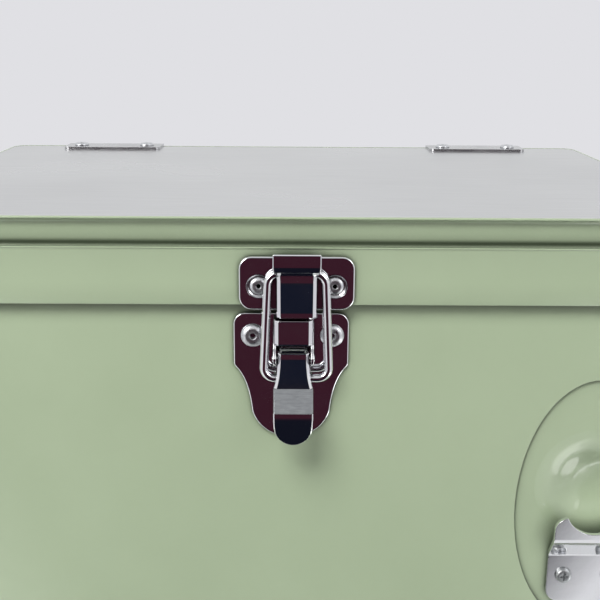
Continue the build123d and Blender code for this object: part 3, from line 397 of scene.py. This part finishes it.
def soften(piece, width, segments=3, angle=20):
    """Rounds the sharp edges by this many millimetres."""
    bevel = piece.modifiers.new("edges", "BEVEL")
    bevel.width = width * MM
    bevel.segments = segments
    bevel.limit_method = "ANGLE"
    bevel.angle_limit = math.radians(angle)
    bevel.use_clamp_overlap = True
    weighted = piece.modifiers.new("normals", "WEIGHTED_NORMAL")
    weighted.keep_sharp = False


def pressing(name, sections, thickness):
    """Sheet through rows of points, with thickness towards the chest. Each row runs across from -X to +X."""
    mesh = bmesh.new()
    rows = [[mesh.verts.new(spot(*point)) for point in row] for row in sections]
    for upper, lower in zip(rows, rows[1:]):
        for index in range(len(upper) - 1):
            mesh.faces.new((upper[index], lower[index], lower[index + 1], upper[index + 1]))
    piece = new_piece(name, mesh)
    solid = piece.modifiers.new("sheet", "SOLIDIFY")
    solid.thickness = thickness * MM
    solid.offset = -1
    return piece


def channel_row(x, u, z, face, slope, drop, wall):
    """Row across a pressed channel: flat face, sloped shoulders and walls that go back by wall."""
    half = (
        (face + slope, wall),
        (face + slope, drop + 0.4),
        (face + 0.72 * slope, 0.5 * drop),
        (face, 0),
    )
    left = [(x - across, u - back, z) for across, back in half]
    right = [(x + across, u - back, z) for across, back in reversed(half)]
    return left + right


def plate(name, outline, rear, face):
    """Flat plate between two distances from the body, with its outline in X and Z."""
    mesh = bmesh.new()
    rim = [mesh.verts.new(spot(x, rear, z)) for x, z in outline]
    back_face = mesh.faces.new(rim)
    pushed = bmesh.ops.extrude_face_region(mesh, geom=[back_face])
    moved = [item for item in pushed["geom"] if isinstance(item, bmesh.types.BMVert)]
    bmesh.ops.translate(mesh, verts=moved, vec=(0, -(face - rear) * MM, 0))
    bmesh.ops.recalc_face_normals(mesh, faces=mesh.faces)
    return new_piece(name, mesh)


def arc(x, z, radius, start, end, steps=8):
    """Points round a centre, with angles in degrees from +X towards +Z."""
    turns = [math.radians(start + (end - start) * step / steps) for step in range(steps + 1)]
    return [(x + radius * math.cos(turn), z + radius * math.sin(turn)) for turn in turns]


def curve_points(start, control, end, steps=8):
    """Points along a curve from start to end, pulled towards control."""
    points = []
    for step in range(steps + 1):
        t = step / steps
        points.append(tuple(
            (1 - t) ** 2 * a + 2 * t * (1 - t) * b + t**2 * c for a, b, c in zip(start, control, end)
        ))
    return points


def turned(name, profile, places, steps=40):
    """Turned heads about axes that face the front, from radii and heights, at places in X, U and Z."""
    mesh = bmesh.new()
    for x, u, z in places:
        rings = []
        for radius, height in profile[:-1]:
            ring = []
            for step in range(steps):
                turn = 2 * math.pi * step / steps
                point = spot(x + radius * math.cos(turn), u + height, z + radius * math.sin(turn))
                ring.append(mesh.verts.new(point))
            rings.append(ring)
        tip = mesh.verts.new(spot(x, u + profile[-1][1], z))
        for outer, inner in zip(rings, rings[1:]):
            for step in range(steps):
                after = (step + 1) % steps
                mesh.faces.new((outer[step], outer[after], inner[after], inner[step]))
        for step in range(steps):
            mesh.faces.new((rings[-1][step], rings[-1][(step + 1) % steps], tip))
        mesh.faces.new(rings[0][::-1])
    bmesh.ops.recalc_face_normals(mesh, faces=mesh.faces)
    return new_piece(name, mesh)


def cut(piece, cutter):
    """Takes the cutter out of the piece and removes it."""
    difference = piece.modifiers.new("cut", "BOOLEAN")
    difference.operation = "DIFFERENCE"
    difference.solver = "EXACT"
    difference.object = cutter
    graph = bpy.context.evaluated_depsgraph_get()
    result = bpy.data.meshes.new_from_object(piece.evaluated_get(graph))
    piece.modifiers.clear()
    piece.data = result
    piece.data.set_sharp_from_angle(angle=math.radians(35))
    piece.modifiers.new("normals", "WEIGHTED_NORMAL").keep_sharp = True
    bpy.data.objects.remove(cutter)


def hoop(name, profile, width, depth, corner, steps=10):
    """Closed profile of inset and height, in millimetres, swept round the lid's rounded outline."""
    mesh = bmesh.new()
    rings = []
    for inset, z in profile:
        radius = corner - inset
        ring = []
        for side_x, side_y, start in ((1, 1, 0), (-1, 1, 90), (-1, -1, 180), (1, -1, 270)):
            centre_x = side_x * (width / 2 - corner)
            centre_y = side_y * (depth / 2 - corner)
            for x, y in arc(centre_x, centre_y, radius, start, start + 90, steps):
                ring.append(mesh.verts.new((x * MM, CENTRE_Y + y * MM, z * MM)))
        rings.append(ring)
    for first, second in zip(rings, rings[1:] + rings[:1]):
        for step in range(len(first)):
            after = (step + 1) % len(first)
            mesh.faces.new((first[step], first[after], second[after], second[step]))
    bmesh.ops.recalc_face_normals(mesh, faces=mesh.faces)
    return new_piece(name, mesh)


# Lid wall: hem, skirt, thin bead, groove, band, cove and a rim folded over the top sheet
LID_CORNER = 9
LID_WALL = [
    (1.3, 270.6), (0.5, 270.6), (0.15, 270.75), (0.0, 271.1), (0.0, 280.0), (0.0, 293.3),
    (-0.08, 293.6), (-0.3, 293.75), (-0.42, 294.0), (-0.35, 294.2), (-0.1, 294.3),
    (0.5, 294.1), (1.2, 293.8), (2.0, 293.7), (3.0, 293.7), (3.5, 293.9), (3.7, 294.4),
    (3.6, 295.0), (3.3, 295.6), (2.95, 296.3), (2.8, 297.2), (2.8, 302.0), (2.75, 303.4),
    (2.4, 304.5), (1.5, 305.15), (0.8, 305.2), (0.5, 305.3), (0.4, 305.5), (0.4, 305.85),
    (0.5, 306.05), (0.75, 306.15), (1.2, 306.2), (1.6, 306.15), (1.75, 306.0), (1.75, 305.3),
    (4.8, 305.1), (4.8, 293.5), (3.8, 293.0), (1.4, 292.9), (0.8, 292.3), (0.8, 275.2), (1.6, 274.8),
    (1.6, 270.8),
]
lid_wall = hoop(
    "lid_wall", LID_WALL, (skirt_high.x - skirt_low.x) / MM, (skirt_high.y - skirt_low.y) / MM, LID_CORNER
)
for face in lid_wall.data.polygons:
    face.use_smooth = True
lid_wall.data.set_sharp_from_angle(angle=math.radians(50))
finish_piece(lid_wall, "lid", SLOT_MATERIALS["paint"], "paint", "lid_shell")

pressed_chrome = chrome("pressed_chrome", 0)

# Keeper: plate with two dimples, channel and lip
KEEPER_FACE = 5.6
KEEPER_REAR = 4.0
KEEPER_CORNER = 5.2
KEEPER_MIDDLE_Z = 279.9
KEEPER_HALF_HEIGHT = 10.9
RIVET_Z = 278.7
RIVET_X = 15.2
keeper_half = (keeper_high.x - keeper_low.x) / 2 / MM
inner_half = keeper_half - KEEPER_CORNER
inner_rise = KEEPER_HALF_HEIGHT - KEEPER_CORNER
keeper_outline = []
for side_x, side_z, start in ((1, 1, 0), (-1, 1, 90), (-1, -1, 180), (1, -1, 270)):
    keeper_outline += arc(
        side_x * inner_half, KEEPER_MIDDLE_Z + side_z * inner_rise, KEEPER_CORNER, start, start + 90
    )
keeper_plate = plate("keeper_plate", keeper_outline, KEEPER_REAR, KEEPER_FACE)
soften(keeper_plate, 0.75, 4, 60)
dimple_profile = [(3.9, -1.0), (4.0, -0.95), (4.5, -0.7), (4.9, -0.2), (5.1, 0.3), (5.1, 1.0), (0, 1.0)]
dimples = turned(
    "dimple_cutter", dimple_profile, [(x, KEEPER_FACE, RIVET_Z) for x in (-RIVET_X, RIVET_X)]
)
cut(keeper_plate, dimples)
finish_piece(keeper_plate, "lid", pressed_chrome, "hardware_chrome", "latch_keeper")

channel_rows = [
    channel_row(0, 6.2, 266.35, 6.2, 1.9, 1.0, 1.2),
    channel_row(0, 9.9, 266.5, 6.3, 1.9, 2.0, 4.1),
    channel_row(0, 10.75, 267.2, 6.4, 1.8, 2.0, 5.0),
    channel_row(0, 10.9, 268.4, 6.4, 1.8, 2.0, 5.2),
    channel_row(0, 10.77, 269.4, 6.4, 1.8, 2.0, 5.1),
    channel_row(0, 9.43, 279.8, 6.5, 1.8, 2.0, 3.8),
    channel_row(0, 9.3, 280.8, 6.5, 1.8, 2.0, 3.7),
    channel_row(0, 9.3, 281.6, 6.5, 1.8, 2.0, 3.7),
    channel_row(0, 9.35, 283.0, 6.6, 1.8, 2.0, 3.7),
    channel_row(0, 9.4, 284.0, 6.6, 1.8, 2.0, 3.6),
]
CHANNEL_SHEET = 1.0
keeper_channel = pressing("keeper_channel", channel_rows[::-1], CHANNEL_SHEET)
soften(keeper_channel, 0.3)
finish_piece(keeper_channel, "lid", pressed_chrome, "hardware_chrome")

LIP_HALF = 9.5
LIP_ROLL = 0.25
LIP_EDGE = 0.8
lip_rows = []
for u, z, half in (
    (12.75, 293.2, LIP_HALF - LIP_ROLL),
    (13.1, 292.8, LIP_HALF),
    (13.1, 289.0, LIP_HALF),
    (12.9, 287.4, LIP_HALF),
    (12.2, 285.8, LIP_HALF - 0.1),
    (11.0, 284.6, LIP_HALF - 0.6),
    (9.4, 283.9, LIP_HALF - 1.5),
):
    lip_rows.append([
        (-half, u - 0.7, z),
        (-half + LIP_ROLL, u - 0.2, z),
        (-half + LIP_EDGE, u, z),
        (half - LIP_EDGE, u, z),
        (half - LIP_ROLL, u - 0.2, z),
        (half, u - 0.7, z),
    ])
keeper_lip = pressing("keeper_lip", lip_rows, SHEET)
soften(keeper_lip, 0.25)
finish_piece(keeper_lip, "lid", pressed_chrome, "hardware_chrome")

# Base: plate, bracket over the pivot, and two ears
BASE_TOP = 266.6
BASE_HALF = 23.5
BASE_CORNER = 4.8
PLATE_FACE = 1.3
half_outline = arc(BASE_HALF - BASE_CORNER, BASE_TOP - BASE_CORNER, BASE_CORNER, 90, 0)
half_outline += [(BASE_HALF, 245.0), (BASE_HALF - 0.3, 244.1)]
half_outline += curve_points((BASE_HALF - 1.8, 242.3), (17.4, 236.6), (16.2, 224.8), 10)
half_outline += curve_points((15.9, 223.4), (12.6, 214.3), (2.0, 212.6), 10)
base_outline = [(BASE_X + x, z) for x, z in half_outline]
base_outline += [(BASE_X - x, z) for x, z in reversed(half_outline)]
base_plate = plate("base_plate", base_outline, 0.05, PLATE_FACE)
soften(base_plate, 0.62, 4, 60)
finish_piece(base_plate, "body", pressed_chrome, "hardware_chrome", "latch_base")

WEB = 10.2
web_rows = [
    channel_row(LATCH_X, 4.6, 265.9, 6.1, 1.8, 1.2, 3.0),
    channel_row(LATCH_X, 9.4, 265.8, 6.1, 1.8, 2.0, 8.0),
    channel_row(LATCH_X, 10.0, 265.5, 6.1, 1.9, 2.3, 8.6),
    channel_row(LATCH_X, WEB, 264.9, 6.1, 2.0, 2.4, 8.8),
    channel_row(LATCH_X, WEB, 256.0, 6.1, 2.0, 2.4, 8.8),
    channel_row(LATCH_X, WEB - 0.3, 255.3, 6.0, 2.1, 2.4, 8.5),
]
latch_web = pressing("latch_web", web_rows, SHEET)
soften(latch_web, 0.3)
finish_piece(latch_web, "body", pressed_chrome, "hardware_chrome")

PIVOT_U, PIVOT_Z = 8.7, 249.6
EAR_LOBE = 3.2
EAR_INSIDE, EAR_OUTSIDE = 7.0, 8.15
ear_outline = [(0.9, 246.4), (0.9, 264.6), (7.6, 264.6), (7.9, 256.0)]
ear_outline += [(10.0, 253.6)] + arc(PIVOT_U, PIVOT_Z, EAR_LOBE, 20, -90)
for hand, name in ((-1, "latch_ear_left"), (1, "latch_ear_right")):
    mesh = bmesh.new()
    rim = [mesh.verts.new(spot(LATCH_X + hand * EAR_INSIDE, u, z)) for u, z in ear_outline]
    pushed = bmesh.ops.extrude_face_region(mesh, geom=[mesh.faces.new(rim)])
    moved = [item for item in pushed["geom"] if isinstance(item, bmesh.types.BMVert)]
    bmesh.ops.translate(mesh, verts=moved, vec=(hand * (EAR_OUTSIDE - EAR_INSIDE) * MM, 0, 0))
    bmesh.ops.recalc_face_normals(mesh, faces=mesh.faces)
    ear = new_piece(name, mesh)
    soften(ear, 0.25, 2, 50)
    finish_piece(ear, "body", pressed_chrome, "hardware_chrome")

# Lever: channelled neck, bright facet, grip strip and rounded tip
neck_rows = [
    channel_row(LATCH_X, 10.6, 252.6, 5.0, 1.5, 1.2, 3.0),
    channel_row(LATCH_X, 11.2, 252.4, 5.1, 1.5, 1.7, 5.6),
    channel_row(LATCH_X, 11.3, 251.8, 5.1, 1.5, 1.7, 5.9),
    channel_row(LATCH_X, 11.3, 250.4, 5.1, 1.5, 1.7, 6.0),
    channel_row(LATCH_X, 11.38, 249.8, 5.1, 1.5, 1.7, 6.0),
    channel_row(LATCH_X, 11.83, 247.0, 5.2, 1.5, 1.7, 6.2),
    channel_row(LATCH_X, 12.47, 243.0, 5.6, 1.4, 1.6, 6.4),
    channel_row(LATCH_X, 12.89, 240.4, 6.1, 1.3, 1.5, 5.4),
    channel_row(LATCH_X, 13.1, 239.0, 6.45, 1.3, 1.4, 4.0),
    channel_row(LATCH_X, 13.2, 238.3, 6.7, 1.3, 1.4, 2.8),
]
neck = pressing("lever_neck", neck_rows, SHEET)
soften(neck, 0.25)
finish_piece(neck, "latch_lever", pressed_chrome, "hardware_chrome", "latch_lever")


def grip_row(u, z, half, roll=0.45):
    """Row across the lever's flat lower part, with its edges rolled back."""
    return [
        (LATCH_X - half, u - 2.2 * roll, z),
        (LATCH_X - half + 0.1 * roll, u - roll, z),
        (LATCH_X - half + roll, u - 0.15 * roll, z),
        (LATCH_X - half + 2 * roll, u, z),
        (LATCH_X + half - 2 * roll, u, z),
        (LATCH_X + half - roll, u - 0.15 * roll, z),
        (LATCH_X + half - 0.1 * roll, u - roll, z),
        (LATCH_X + half, u - 2.2 * roll, z),
    ]


GRIP_SHEET = 1.0
FACET_LOW = (17.9, 229.4)
facet_rows = [
    grip_row(13.1, 238.3, LEVER_HALF),
    grip_row(17.4, 230.2, LEVER_HALF),
    grip_row(*FACET_LOW, LEVER_HALF),
]
facet = pressing("lever_facet", facet_rows, GRIP_SHEET)
soften(facet, 0.15, 2)
finish_piece(facet, "latch_lever", rubbed_chrome(), "hardware_chrome")

TIP_U = 18.0
TIP_TOP_Z = 227.0
TIP_CENTRE_Z = 223.0
TIP_END_Z = TIP_CENTRE_Z - TIP_RADIUS
TIP_LEAN = 1.7
tip_rows = [grip_row(*FACET_LOW, LEVER_HALF), grip_row(TIP_U, TIP_TOP_Z, LEVER_HALF)]
for share in (0, 0.3, 0.5, 0.66, 0.78, 0.87, 0.94, 0.98):
    drop = TIP_RADIUS * share
    half = TIP_RADIUS * math.sqrt(1 - share**2)
    slope = (TIP_TOP_Z - (TIP_CENTRE_Z - drop)) / (TIP_TOP_Z - TIP_END_Z)
    lift = 0.5 * max(0.0, share - 0.6)
    tip_rows.append(grip_row(TIP_U - TIP_LEAN * slope - lift, TIP_CENTRE_Z - drop, half))
tip = pressing("lever_tip", tip_rows, GRIP_SHEET)
soften(tip, 0.15, 2)
finish_piece(tip, "latch_lever", pressed_chrome, "hardware_chrome")

# Bail: round wire, wider at its pivot than at the hook
WIRE_RADIUS = 1.72
BAIL_U = 7.5
BAIL_BOTTOM_Z, BAIL_TOP_Z = 240.9, 284.6
BAIL_BOTTOM_HALF, BAIL_TOP_HALF = 13.1, 11.6
BAIL_BOTTOM_BEND, BAIL_TOP_BEND = 4.4, 4.9


def wire(name, path, radius, steps=20):
    """Closed round wire through points in one upright plane."""
    mesh = bmesh.new()
    rings = []
    count = len(path)
    for index, (x, u, z) in enumerate(path):
        before, after = path[index - 1], path[(index + 1) % count]
        along = (spot(*after) - spot(*before)).normalized()
        outward = Vector((0, -1, 0))
        across = along.cross(outward).normalized()
        ring = []
        for step in range(steps):
            turn = 2 * math.pi * step / steps
            shift = across * math.cos(turn) + outward * math.sin(turn)
            ring.append(mesh.verts.new(spot(x, u, z) + shift * radius * MM))
        rings.append(ring)
    for first, second in zip(rings, rings[1:] + rings[:1]):
        for step in range(steps):
            after = (step + 1) % steps
            mesh.faces.new((first[step], first[after], second[after], second[step]))
    bmesh.ops.recalc_face_normals(mesh, faces=mesh.faces)
    return new_piece(name, mesh)


bail_path = []
for side_x, half, bend, z, start in (
    (1, BAIL_BOTTOM_HALF, BAIL_BOTTOM_BEND, BAIL_BOTTOM_Z, -90),
    (1, BAIL_TOP_HALF, BAIL_TOP_BEND, BAIL_TOP_Z, 0),
    (-1, BAIL_TOP_HALF, BAIL_TOP_BEND, BAIL_TOP_Z, 90),
    (-1, BAIL_BOTTOM_HALF, BAIL_BOTTOM_BEND, BAIL_BOTTOM_Z, 180),
):
    inward = -bend if z == BAIL_TOP_Z else bend
    corner = arc(side_x * (half - bend), z + inward, bend, start, start + 90, 12)
    bail_path += [(x, BAIL_U, height) for x, height in corner]
bail = wire("bail_wire", bail_path, WIRE_RADIUS)
finish_piece(bail, "latch_bail", pressed_chrome, "hardware_chrome", "latch_bail")

# Rivets with a turned head and a mandrel hole that painted shade darkens
HEAD = [
    (1.0, 0.0), (0.99, 0.18), (0.93, 0.42), (0.8, 0.68), (0.6, 0.88), (0.44, 0.95),
    (0.39, 0.84), (0.35, 0.92), (0.29, 0.93), (0.25, 0.7), (0.24, -0.4), (0.0, -0.45),
]
BASE_RIVET_Z = 257.1
BASE_RIVET_PLACES = (-17.7, 14.5)
rivet_finish = SLOT_MATERIALS["rivet_alloy"]
for name, radius, height, body, node, u, z, places in (
    ("keeper_rivet_heads", 3.8, 1.3, "lid", "latch_keeper_rivets", 4.6, RIVET_Z, (-RIVET_X, RIVET_X)),
    (
        "base_rivet_heads", 4.9, 1.9, "body", "latch_base_rivets",
        PLATE_FACE - 0.1, BASE_RIVET_Z, BASE_RIVET_PLACES,
    ),
):
    heads = turned(name, [(radius * r, height * h) for r, h in HEAD], [(x, u, z) for x in places])
    finish_piece(heads, body, rivet_finish, "rivet_alloy", node)


# ---------------------------------------------------------------- stage
BACKDROP = linear(224, 224, 228)
# The next three are colours of the painted dark reflection on the floor
NAVY = linear(20, 22, 33)
MAROON = linear(60, 29, 41)
FAR_NAVY = linear(26, 27, 38)
ROOM_NAVY = linear(22, 26, 40)
ROOM_MAROON = linear(64, 30, 42)
# Glow of the painted reflection on the floor, seen only in mirrors
PAINTED_GLOW = (3.4, 3.4, 3.35, 1)
WALLS = (0.86, 0.87, 0.88, 1)
CEILING = (0.40, 0.41, 0.42, 1)
WINDOW = (-0.62, -0.66, 0.42)
WINDOW_GLOW = (6.5, 6.5, 6.4, 1)


def floor():
    """Pale paper, with painted reflections on it: dark bands and one glowing patch that mirrors see, and the
    camera and the lights do not.
    """
    mesh = bpy.data.meshes.new("floor")
    reach = 6
    mesh.from_pydata(
        [(-reach, -reach, 0), (reach, -reach, 0), (reach, reach, 0), (-reach, reach, 0)],
        [],
        [(0, 1, 2, 3)],
    )
    sheet = bpy.data.objects.new("floor", mesh)
    bpy.context.scene.collection.objects.link(sheet)
    g = Graph("floor_paper")
    g.set(Base_Color=linear(232, 232, 234), Roughness=0.7)
    split = g.add("ShaderNodeSeparateXYZ")
    g.join(g.place, split.inputs[0])
    across, forward = split.outputs["X"], split.outputs["Y"]
    glossy = g.add("ShaderNodeLightPath").outputs["Is Glossy Ray"]
    # Painted reflection: a dark wedge in front of the chest, seen only in mirrors, in bands of navy and
    # maroon
    away = g.math("ABSOLUTE", g.math("ADD", forward, 0.08))
    wedge = g.spread(g.math("DIVIDE", g.math("ABSOLUTE", across), away), 1, 0, 0.55, 0.8)
    dark = g.math("MULTIPLY", g.spread(forward, 1, 0, -0.24, -0.15), wedge)
    dark = g.math("MULTIPLY", dark, glossy)
    tone = g.blend(g.spread(forward, 1, 0, -0.60, -0.50), NAVY, MAROON)
    tone = g.blend(g.spread(forward, 1, 0, -2.4, -1.7), tone, FAR_NAVY)
    # Painted reflection: a glowing patch at the right, seen only in mirrors, which puts a highlight in the
    # pressed dish
    painted_glow = g.math("MULTIPLY", g.spread(across, 0, 1, 0.20, 0.24), g.spread(across, 1, 0, 0.52, 0.56))
    painted_glow = g.math("MULTIPLY", painted_glow, g.spread(forward, 1, 0, -0.135, -0.125))
    painted_glow = g.math("MULTIPLY", painted_glow, g.spread(forward, 0, 1, -0.36, -0.32))
    painted_glow = g.math("MULTIPLY", painted_glow, glossy)
    # Only steep rays see the glowing patch, so the flat front does not mirror it
    steep = g.add("ShaderNodeSeparateXYZ")
    g.join(g.add("ShaderNodeNewGeometry").outputs["Incoming"], steep.inputs[0])
    painted_glow = g.math("MULTIPLY", painted_glow, g.spread(steep.outputs["Z"], 0, 1, 0.48, 0.56))
    shade = g.add("ShaderNodeEmission")
    g.join(g.blend(painted_glow, tone, PAINTED_GLOW), shade.inputs["Color"])
    # Far from the chest the paper runs up into the backdrop
    distance = g.add("ShaderNodeVectorMath", operation="LENGTH")
    g.join(g.place, distance.inputs[0])
    sweep = g.add("ShaderNodeEmission")
    sweep.inputs["Color"].default_value = BACKDROP
    paper = g.mixed(g.spread(distance.outputs["Value"], 0, 1, 0.35, 1.1), g.surface, sweep)
    g.join(g.mixed(g.math("MAXIMUM", dark, painted_glow), paper, shade).outputs[0], g.out.inputs["Surface"])
    mesh.materials.append(g.material)


def room():
    """World: soft white for plain surfaces, a dark room with one window for mirrors, and the backdrop."""
    world = bpy.data.worlds.new("studio")
    bpy.context.scene.world = world
    world.use_nodes = True
    g = Graph.of_tree(world.node_tree)
    out = g.add("ShaderNodeOutputWorld")
    towards = g.add("ShaderNodeTexCoord").outputs["Generated"]
    split = g.add("ShaderNodeSeparateXYZ")
    g.join(towards, split.inputs[0])
    across, forward, up = split.outputs["X"], split.outputs["Y"], split.outputs["Z"]
    # Towards the viewer's side, and not much above the horizon, the room is dark
    dark = g.math("MULTIPLY", g.spread(forward, 1, 0, -0.62, -0.50), g.spread(up, 1, 0, 0.30, 0.42))
    dark = g.math("MULTIPLY", dark, g.spread(g.math("ABSOLUTE", across), 1, 0, 0.5, 0.65))
    # The dark part is navy at eye level and maroon above it
    seen = g.blend(dark, WALLS, g.blend(g.spread(up, 0, 1, 0.02, 0.12), ROOM_NAVY, ROOM_MAROON))
    # A dimmer ceiling above the viewer, and one bright window at the upper left
    dim = g.math("MULTIPLY", g.spread(up, 0, 1, 0.62, 0.74), g.spread(forward, 1, 0, -0.5, -0.3))
    seen = g.blend(dim, seen, CEILING)
    facing = g.add("ShaderNodeVectorMath", operation="DOT_PRODUCT")
    g.join(towards, facing.inputs[0])
    facing.inputs[1].default_value = Vector(WINDOW).normalized()
    seen = g.blend(g.spread(facing.outputs["Value"], 0, 1, 0.955, 0.962), seen, WINDOW_GLOW)
    soft = g.add("ShaderNodeBackground")
    soft.inputs["Color"].default_value = (0.93, 0.94, 0.96, 1)
    soft.inputs["Strength"].default_value = 0.22
    mirrored = g.add("ShaderNodeBackground")
    g.join(seen, mirrored.inputs["Color"])
    backdrop = g.add("ShaderNodeBackground")
    backdrop.inputs["Color"].default_value = BACKDROP
    ray = g.add("ShaderNodeLightPath")
    lighting = g.mixed(ray.outputs["Is Glossy Ray"], soft, mirrored)
    g.join(g.mixed(ray.outputs["Is Camera Ray"], lighting, backdrop).outputs[0], out.inputs["Surface"])


def soft_light(name, place, size, power, aim):
    """Square studio light that is aimed at a point."""
    light = bpy.data.lights.new(name, "AREA")
    light.shape = "RECTANGLE"
    light.size, light.size_y = size
    light.energy = power
    lamp = bpy.data.objects.new(name, light)
    bpy.context.scene.collection.objects.link(lamp)
    lamp.location = place
    lamp.rotation_mode = "QUATERNION"
    lamp.rotation_quaternion = (Vector(aim) - Vector(place)).to_track_quat("-Z", "Y")
    return lamp


# The camera's lens in mm, its angles in degrees, and its place in mm from the lid's middle and top
LENS = 59.39
PITCH, ROLL, YAW = 15.26, 0.421, 0.608
CAMERA_X, CAMERA_AWAY, CAMERA_ABOVE = -2.71, 503.83, 70.93


def camera():
    """Close view of the latch from the front, a little above the lid."""
    data = bpy.data.cameras.new("camera")
    data.lens = LENS
    data.clip_start = 0.01
    cam = bpy.data.objects.new("camera", data)
    bpy.context.scene.collection.objects.link(cam)
    pitch, roll, yaw = math.radians(PITCH), math.radians(ROLL), math.radians(YAW)
    turn = Matrix.Rotation(-yaw, 4, "Z") @ Matrix.Rotation(math.pi / 2 - pitch, 4, "X")
    turn = turn @ Matrix.Rotation(roll, 4, "Z")
    place = Vector((CAMERA_X * MM, CENTRE_Y - CAMERA_AWAY * MM, plate_high.z + CAMERA_ABOVE * MM))
    cam.matrix_world = Matrix.Translation(place) @ turn
    bpy.context.scene.camera = cam


floor()
room()
FRONT_AIM = (0, -0.12, 0.25)
BACK_AIM = (0, 0.12, 0.2)
soft_light("key", (-0.5, -1.08, 1.6), (0.8, 0.7), 31, FRONT_AIM).visible_glossy = False
soft_light("fill", (1.3, -1.2, 1.0), (0.8, 0.8), 5, FRONT_AIM)
soft_light("back_fill", (0.3, 1.5, 1.4), (1.2, 1.0), 11, BACK_AIM).visible_glossy = False
camera()
bpy.context.scene.view_settings.view_transform = "Standard"
